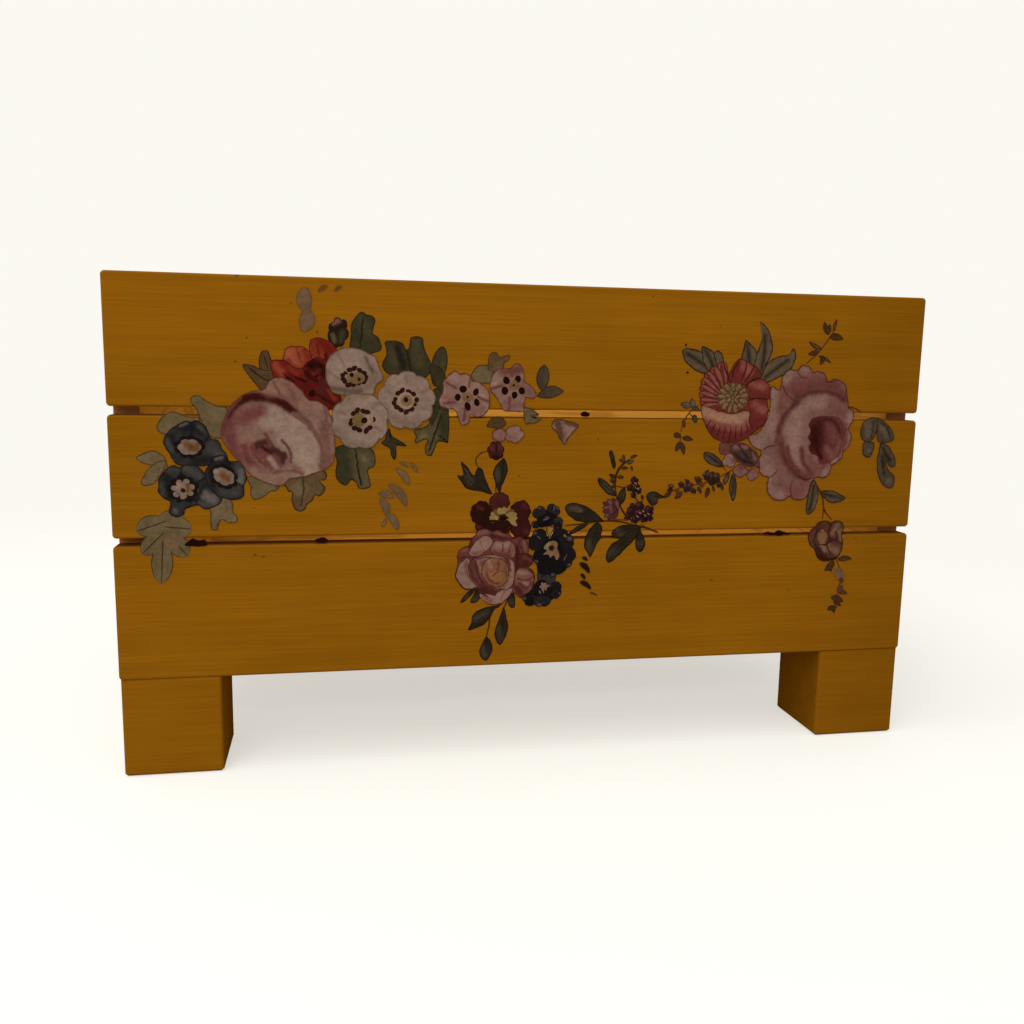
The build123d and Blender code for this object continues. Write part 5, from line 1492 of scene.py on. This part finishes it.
def right_rose(sheet):
    """The large rose of the right spray."""
    sheet.shape((-19.7, -2.5, -19.4, -6.5, -17.6, -8.4, -15.4, -9, -16, -12, -15.1, -15.3, -12.4, -17.6,
        -8.8, -17.9, -6, -16.4, -4.6, -17.4, -1.5, -17.8, 1.5, -16, 2.5, -11.5, 4.5, -9, 7.5, -9.4,
        10, -7.7, 10.8, -4.7, 12.5, -3.4, 14.8, -1.5, 15.4, 1, 17.6, 3.5, 18.3, 7, 16.9, 10, 18.4, 13,
        18.3, 16.5, 16.3, 18.5, 15.5, 22, 14.5, 26, 12.3, 28.2, 9.3, 29, 7, 28, 5.3, 30.7, 2.4, 31.9,
        0.4, 31.3, -1.2, 33.4, -4.2, 34, -6.2, 32, -9.4, 32.1, -12, 29.6, -12.4, 26.5, -13.2, 24.5,
        -15, 25.6, -16.5, 25.4, -16.7, 22, -16.5, 17, -18, 12, -21.5, 8, -24.5, 6.8, -23.5, 4, -21, 2,
        -19, 1), "second_rose", heart=(0, 7), line="second_line", step=0.4,
        strokes=[("second_pale", 7, 0.9, -17, 23, -16, 10, -20, 5), ("second_pale", 5, 0.9, -17.5, -3,
        -14, -11), ("second_pale", 4, 0.9, -10.5, 28, -8, 30), ("second_pale", 3, 0.9, -3, 31.4),
        ("second_rosy", 5, 0.9, -12, -14, -2, -14.5), ("second_pale", 3.4, 0.9, -13.5, -14, -10, -15.6),
        ("second_rosy", 5, 0.9, -10, 22, -6, 26.4, 1, 28.4, 9, 26.6), ("second_mauve", 4.4, 0.9, -7, 21.5,
        -3, 25, 3, 26.3, 9, 25.6, 13.5, 22.4), ("second_rosy", 3.4, 0.9, -11.6, 18, -9.4, 22.4),
        ("second_band", 1.8, 0.8, -5.8, 20.2, -2.5, 22.6, 3, 23.8, 10, 23.2, 14, 21),
        ("second_pale", 3, 0.9, 0, 21, 6, 21.4), ("second_cup", 9, 0.9, -5, 14, -6.4, 5, -3, -2),
        ("second_cup", 3, 0.9, -3, 17.6, 4, 19, 10, 18), ("second_rosy", 4, 0.9, 9, 18.5, 14.6, 16),
        ("second_band", 2.4, 0.9, -6, 19.6, -10, 15, -12, 10, -12.3, 5),
        ("second_mauve", 3.6, 0.9, -11.4, 6, -9.4, -1, -5, -6.6, 0.4, -9.2),
        ("second_band", 1.5, 0.9, -10.8, 4, -9, -2, -4.4, -7.4, 0, -9.6),
        ("second_streak", 1.6, 0.9, -8.4, 2.6, -6.6, -2.6, -3, -6.4), ("second_streak", 2.2, 0.9, -2.4, 2,
        -1, -3.4, 2.6, -7.6), ("second_rosy", 2.6, 0.9, 1, -1.4, 4, -6), ("second_rosy", 5, 0.9, 7, -6,
        12, -1.5), ("second_pale", 2.4, 0.9, 8, -7.4, 13, -1.6, 16.4, 3.6), ("second_pale", 2.4, 0.9, 17, 7,
        17, 15), ("second_mauve", 2.6, 0.9, 14.6, 11, 15.4, 5, 13, 0)])
    sheet.shape((0, 11.4, 1.2, 13.8, 4, 14.6, 8, 14.8, 12.4, 14.2, 14.6, 11, 14.8, 5.4, 13.4, 0, 10, -3.2,
        5.6, -3.8, 4.4, -0.8, 2, 0, 0.4, 2.6, 1.2, 4.4, -0.2, 6.6, 0.8, 8.6), "second_streak", heart=(5, 6),
        step=0.4, strokes=[("second_deep", 6.4, 0.8, 4, 11.4, 3.6, 2.6),
        ("second_heart", 4.6, 0.9, 2.4, 9.4, 2.6, 5), ("second_heart", 1.6, 0.9, 4, 2, 6, -1.6),
        ("second_mauve", 3.4, 0.9, 8.6, 12, 11.4, 6), ("second_rosy", 2.6, 0.9, 8, 2.4, 10.8, -1),
        ("second_deep", 1.4, 0.9, 6.6, 13.6, 10.4, 12.6, 13.4, 8.4), ("second_rosy", 1.4, 0.9, 13.6, 5,
        11.8, 0.4)])
    for points, wide, ink in (
        ((-11.8, 26.4, -10, 23, -6.2, 20), 0.6, "second_band"),
        ((-18.4, 1.4, -16, 3, -12.4, 3.4), 0.5, "second_band"),
        ((-5, -17, -6, -13.4, -5.4, -10), 0.5, "second_band"),
        ((3, -8.8, 0, -10, -3.4, -8.4), 0.5, "second_line"),
        ((4.6, 28, 7.6, 27.4, 10, 28.4), 0.4, "second_band"),
        ((-6.4, 32, -4.6, 29.6, -1.4, 29), 0.4, "second_band"),
        ((17, 10, 15.4, 9, 15, 6.4), 0.4, "second_band"),
        ((-15.6, -9.2, -13, -7.6, -11.4, -5), 0.45, "second_band"),
        ((10.6, -4.6, 9.4, -3, 6.8, -2.8), 0.4, "second_band"),
    ):
        sheet.blade(points, wide, ink, tip=0.4)


class KEEPSAKE_OT_right_rose(bpy.types.Operator):
    """Lay the big pink rose of the right spray"""

    bl_idname = "keepsake.right_rose"
    bl_label = "Right spray: rose"

    def execute(self, context):
        return paper_piece(right_rose, 0.3, context, (104, 115))


def rosebud(sheet):
    """The rosebud that hangs under the right rose."""
    sheet.shape((-7.3, 1, -6.6, 4, -4.6, 5.4, -3, 7.4, 0, 7.9, 2.4, 7.2, 4.6, 8, 6.8, 7.3, 8, 5, 7.2, 2.4,
        8, -1, 7.6, -4, 5.8, -7.4, 2.8, -8.3, -1, -8.2, -3.4, -6, -4.2, -3.6, -6.4, -1.6), "bud_mauve",
        heart=(0.5, 0), line="bud_line", step=0.35, strokes=[("bud_top", 2.6, 0.8, -4.5, 5.6, 0, 6.6,
        5, 6.8), ("bud_mauve", 3, 0.8, -5.4, 3, -5.6, 0), ("bud_dark", 1, 0.8, -3.4, 4.6, -4.6, 0,
        -2.8, -3.4), ("bud_dark", 3.4, 0.8, -3, -3.8, 0, -6.2), ("bud_pale", 2, 0.8, 5, 6, 3.4, 3),
        ("bud_pale", 1.6, 0.8, 6.4, 3.6, 6.6, 0), ("bud_pale", 3, 0.8, 1.6, -2.8, 5, -4.2),
        ("bud_pale", 1.4, 0.8, -1, -2, 0.4, -4.2), ("bud_dark", 1, 0.7, 2, 6, 1.4, 2.4, 2.6, -0.4),
        ("bud_dark", 0.9, 0.7, 2.4, -0.2, 5, 0, 7.4, -1.4), ("bud_dark", 0.8, 0.7, 4.4, 3.4, 5.4, 0.6),
        ("bud_line", 1.2, 0.8, -3, -6.4, 2, -7.6, 6, -7), ("bud_dark", 0.8, 0.7, 1, -2, 3, -5.6)])
    sheet.bloom((-1.2, 1.4), (2.7, 3.6), "bud_tan", turn=12, lobes=5, depth=0.1, line="bud_dark", pen=0.5,
        strokes=[("bud_pale", 1.6, 0.9, -1.6, 2.6, -1, 0)])
    sheet.blade((-1, -1.6, 1, -1.6, 2.4, 0.4), 0.6, "bud_line", tip=0.4)


class KEEPSAKE_OT_rosebud(bpy.types.Operator):
    """Lay the rosebud that hangs under the right rose"""

    bl_idname = "keepsake.rosebud"
    bl_label = "Right spray: rosebud"

    def execute(self, context):
        return paper_piece(rosebud, 0.12, context, (114, 81))


class KEEPSAKE_OT_wood(bpy.types.Operator):
    """Paint the slats, end boards and feet, and leave the floor bare"""

    bl_idname = "keepsake.wood"
    bl_label = "Painted and bare wood"

    def execute(self, context):
        finish = context.scene.keepsake_finish
        along_x = painted_pine("X", finish)
        along_y = painted_pine("Y", finish)
        bare = bare_pine(finish)
        for name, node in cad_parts.items():
            if name.endswith("_end_board"):
                material = along_y
            elif name.startswith("floor_slat"):
                material = bare
            elif name.endswith(("_slat", "_foot")):
                material = along_x
            else:
                continue
            for slot in node.material_slots:
                slot.material = material
        return {"FINISHED"}


class KEEPSAKE_OT_steel(bpy.types.Operator):
    """Give the brads and the foot screws their steel"""

    bl_idname = "keepsake.steel"
    bl_label = "Brads and screws"

    def execute(self, context):
        finish = context.scene.keepsake_finish
        wire = metal("Drawn steel wire", finish.steel, "Y", 0.2 * MM, 0.36)
        plated = metal("Yellow zinc plated steel", finish.zinc, "Z", 0.3 * MM, 0.4)
        for name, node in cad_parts.items():
            if name.endswith("_brads") or name == "foot_screws":
                for slot in node.material_slots:
                    slot.material = plated if name == "foot_screws" else wire
        return {"FINISHED"}


class KEEPSAKE_OT_filler(bpy.types.Operator):
    """Fill the brads' pockets in the slats, flush and painted over"""

    bl_idname = "keepsake.filler"
    bl_label = "Filler over the brads"

    brad_inset: length("Brad inset", "From a slat's edge to its brads", 10.5 * MM)
    half_width: length("Half width", "Half the width of a filled pocket", 1.3 * MM)
    half_height: length("Half height", "Half the height of a filled pocket", 0.8 * MM)
    depth: length("Depth", "How deep the filler goes", 0.7 * MM)
    dome: length("Dome", "How far the filler stands out", 0.03 * MM)

    def execute(self, context):
        low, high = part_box("right_end_board")
        brad_x = (low.x + high.x) / 2
        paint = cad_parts["front_top_slat"].material_slots[0].material
        for wall, face, side in (("front", FRONT_FACE, -1), ("back", BACK_FACE, 1)):
            bm = bmesh.new()
            for level in ("bottom", "middle", "top"):
                base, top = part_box(f"{wall}_{level}_slat")
                for z in (base.z + self.brad_inset, top.z - self.brad_inset):
                    for x in (-brad_x, brad_x):
                        self.plug(bm, x, face, side, z)
            mesh = bpy.data.meshes.new(f"{wall}_brad_filler")
            bm.to_mesh(mesh)
            bm.free()
            mesh.materials.append(paint)
            piece = bpy.data.objects.new(mesh.name, mesh)
            context.scene.collection.objects.link(piece)
            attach(piece, "root")
        return {"FINISHED"}

    def plug(self, bm, x, face, side, z):
        """One plug of filler: an oval pressed into the pocket and wiped to a low dome."""
        rim = bmesh.ops.create_circle(bm, cap_ends=True, segments=20, radius=1)["verts"]
        cap = rim[0].link_faces[0]
        cap.normal_update()
        sides = bmesh.ops.extrude_face_region(bm, geom=[cap])["geom"]
        raised = [g for g in sides if isinstance(g, bmesh.types.BMVert)]
        bmesh.ops.translate(bm, verts=raised, vec=(0, 0, 1))
        top = [g for g in sides if isinstance(g, bmesh.types.BMFace)][0]
        bmesh.ops.inset_individual(bm, faces=[top], thickness=0.35, depth=0.04)
        verts = list(rim) + raised + list(top.verts)
        facing = Matrix.Rotation(math.radians(-90 * side), 4, "X")
        place = Matrix.Translation((x, face - side * (self.depth - self.dome), z))
        scale = Matrix.Diagonal((self.half_width, self.half_height, self.depth, 1))
        bmesh.ops.transform(bm, matrix=place @ facing @ scale, verts=verts)
        bmesh.ops.recalc_face_normals(bm, faces=list({f for v in verts for f in v.link_faces}))


class KEEPSAKE_OT_stage(bpy.types.Operator):
    """Make the floor, the background, the lamps and the camera"""

    bl_idname = "keepsake.stage"
    bl_label = "Floor, light and camera"

    def execute(self, context):
        stage = context.scene.keepsake_stage
        pale = rgba(stage.background)
        self.world(context, stage, pale)
        self.floor(context, pale)
        self.lamp(context, "Key lamp", *KEY_LAMP, stage.key_power)
        self.lamp(context, "Top lamp", *TOP_LAMP, stage.top_power)
        camera = bpy.data.objects.new("Camera", bpy.data.cameras.new("Camera"))
        camera.location = CAMERA_PLACE
        camera.rotation_euler = [math.radians(angle) for angle in CAMERA_TURN]
        camera.data.lens = CAMERA_LENS
        camera.data.sensor_width = CAMERA_SENSOR
        camera.data.clip_start = 0.01
        context.scene.collection.objects.link(camera)
        context.scene.camera = camera
        context.scene.view_settings.view_transform = "Standard"
        return {"FINISHED"}

    def seen(self, tree):
        """1 for rays from the camera, and for those that a shine or glass sends on."""
        path = add(tree, "LightPath").outputs
        camera, glossy, through = (path[f"Is {ray} Ray"] for ray in ("Camera", "Glossy", "Transmission"))
        shiny = add(tree, "Math", {0: glossy, 1: through}, operation="MAXIMUM")
        return add(tree, "Math", {0: camera, 1: shiny}, operation="MAXIMUM")

    def world(self, context, stage, pale):
        """The background shows pale to the camera and gives an even soft light to the rest."""
        world = bpy.data.worlds.new("Pale room")
        world.use_nodes = True
        tree = world.node_tree
        tree.nodes.clear()
        seen = self.seen(tree)
        shown = add(tree, "Background", {"Color": pale, "Strength": 1.0})
        light = add(tree, "Background", {"Color": (1, 1, 1, 1), "Strength": stage.world_light})
        both = add(tree, "MixShader", {0: seen, 1: light, 2: shown})
        add(tree, "OutputWorld", {"Surface": both})
        context.scene.world = world

    def floor(self, context, pale):
        """A matt board that takes the shadow, and fades into the background further out."""
        bm = bmesh.new()
        bmesh.ops.create_grid(bm, x_segments=8, y_segments=8, size=FLOOR_REACH)
        bmesh.ops.translate(bm, verts=bm.verts, vec=(0, 0, -FLOOR_DROP))
        mesh = bpy.data.meshes.new("Floor")
        bm.to_mesh(mesh)
        bm.free()
        floor = bpy.data.objects.new("Floor", mesh)
        context.scene.collection.objects.link(floor)
        material, tree, shader = new_material("Matt pale board")
        place = add(tree, "TexCoord").outputs["Object"]
        seen = self.seen(tree)
        tooth = grained(tree, place, "X", 3 * MM, 3 * MM)
        tooth = add(tree, "MapRange", {0: tooth, 1: 0.3, 2: 0.7, 4: 0.02})
        tone = add(tree, "Mix", {0: tooth, 6: pale, 7: FLOOR_SPECK}, data_type="RGBA")
        tone = add(tree, "Mix", {0: seen, 6: FLOOR_BOUNCE, 7: tone}, data_type="RGBA")
        tree.links.new(tone.outputs[2], shader.inputs["Base Color"])
        shader.inputs["Roughness"].default_value = 0.9
        shader.inputs["Specular IOR Level"].default_value = 0.0
        away = add(tree, "VectorMath", {0: place}, operation="LENGTH").outputs["Value"]
        far = add(tree, "MapRange", {0: away, 1: FADE_START, 2: FADE_END, 3: 0.6, 4: 1.0}, **SMOOTH)
        far = add(tree, "Math", {0: far, 1: seen}, operation="MULTIPLY")
        glow = add(tree, "Emission", {"Color": pale, "Strength": 1.0})
        both = add(tree, "MixShader", {0: far, 1: shader, 2: glow})
        output = next(n for n in tree.nodes if n.type == "OUTPUT_MATERIAL")
        tree.links.new(both.outputs[0], output.inputs["Surface"])
        mesh.materials.append(material)

    def lamp(self, context, name, place, side, power):
        """A square soft lamp that points at the middle of the box."""
        lamp = bpy.data.objects.new(name, bpy.data.lights.new(name, "AREA"))
        lamp.data.size = side
        lamp.data.energy = power
        lamp.location = place
        aim = Vector((0, 0, RIM / 2)) - lamp.location
        lamp.rotation_euler = aim.to_track_quat("-Z", "Y").to_euler()
        context.scene.collection.objects.link(lamp)


PIECES = (
    KEEPSAKE_OT_wood,
    KEEPSAKE_OT_steel,
    KEEPSAKE_OT_filler,
    KEEPSAKE_OT_left_leaves,
    KEEPSAKE_OT_coral_flower,
    KEEPSAKE_OT_blue_auriculas,
    KEEPSAKE_OT_left_rose,
    KEEPSAKE_OT_white_auriculas,
    KEEPSAKE_OT_mauve_auriculas,
    KEEPSAKE_OT_middle_leaves,
    KEEPSAKE_OT_wine_auricula,
    KEEPSAKE_OT_peony,
    KEEPSAKE_OT_black_blooms,
    KEEPSAKE_OT_middle_branch,
    KEEPSAKE_OT_right_leaves,
    KEEPSAKE_OT_ribbed_flower,
    KEEPSAKE_OT_mauve_floret,
    KEEPSAKE_OT_right_rose,
    KEEPSAKE_OT_rosebud,
    KEEPSAKE_OT_stage,
)


class KEEPSAKE_PT_panel(bpy.types.Panel):
    """Lists the keepsake box's pieces and finishes"""

    bl_idname = "KEEPSAKE_PT_panel"
    bl_label = "Keepsake Box"
    bl_space_type = "VIEW_3D"
    bl_region_type = "UI"
    bl_category = "Keepsake Box"

    def draw(self, context):
        for operator in PIECES:
            self.layout.operator(operator.bl_idname)
        for name in GROUPS:
            settings = getattr(context.scene, name)
            box = self.layout.box()
            for key in type(settings).__annotations__:
                box.prop(settings, key)


GROUPS = {
    "keepsake_inks": KeepsakeInks,
    "keepsake_finish": KeepsakeFinish,
    "keepsake_paper": KeepsakePaper,
    "keepsake_stage": KeepsakeStage,
}


def register():
    for cls in (*GROUPS.values(), *PIECES, KEEPSAKE_PT_panel):
        bpy.utils.register_class(cls)
    for name, group in GROUPS.items():
        setattr(bpy.types.Scene, name, PointerProperty(type=group))


def unregister():
    for name in GROUPS:
        delattr(bpy.types.Scene, name)
    for cls in reversed((*GROUPS.values(), *PIECES, KEEPSAKE_PT_panel)):
        bpy.utils.unregister_class(cls)


def main():
    register()
    for operator in PIECES:
        category, name = operator.bl_idname.split(".")
        getattr(getattr(bpy.ops, category), name)()


if __name__ == "__main__":
    main()
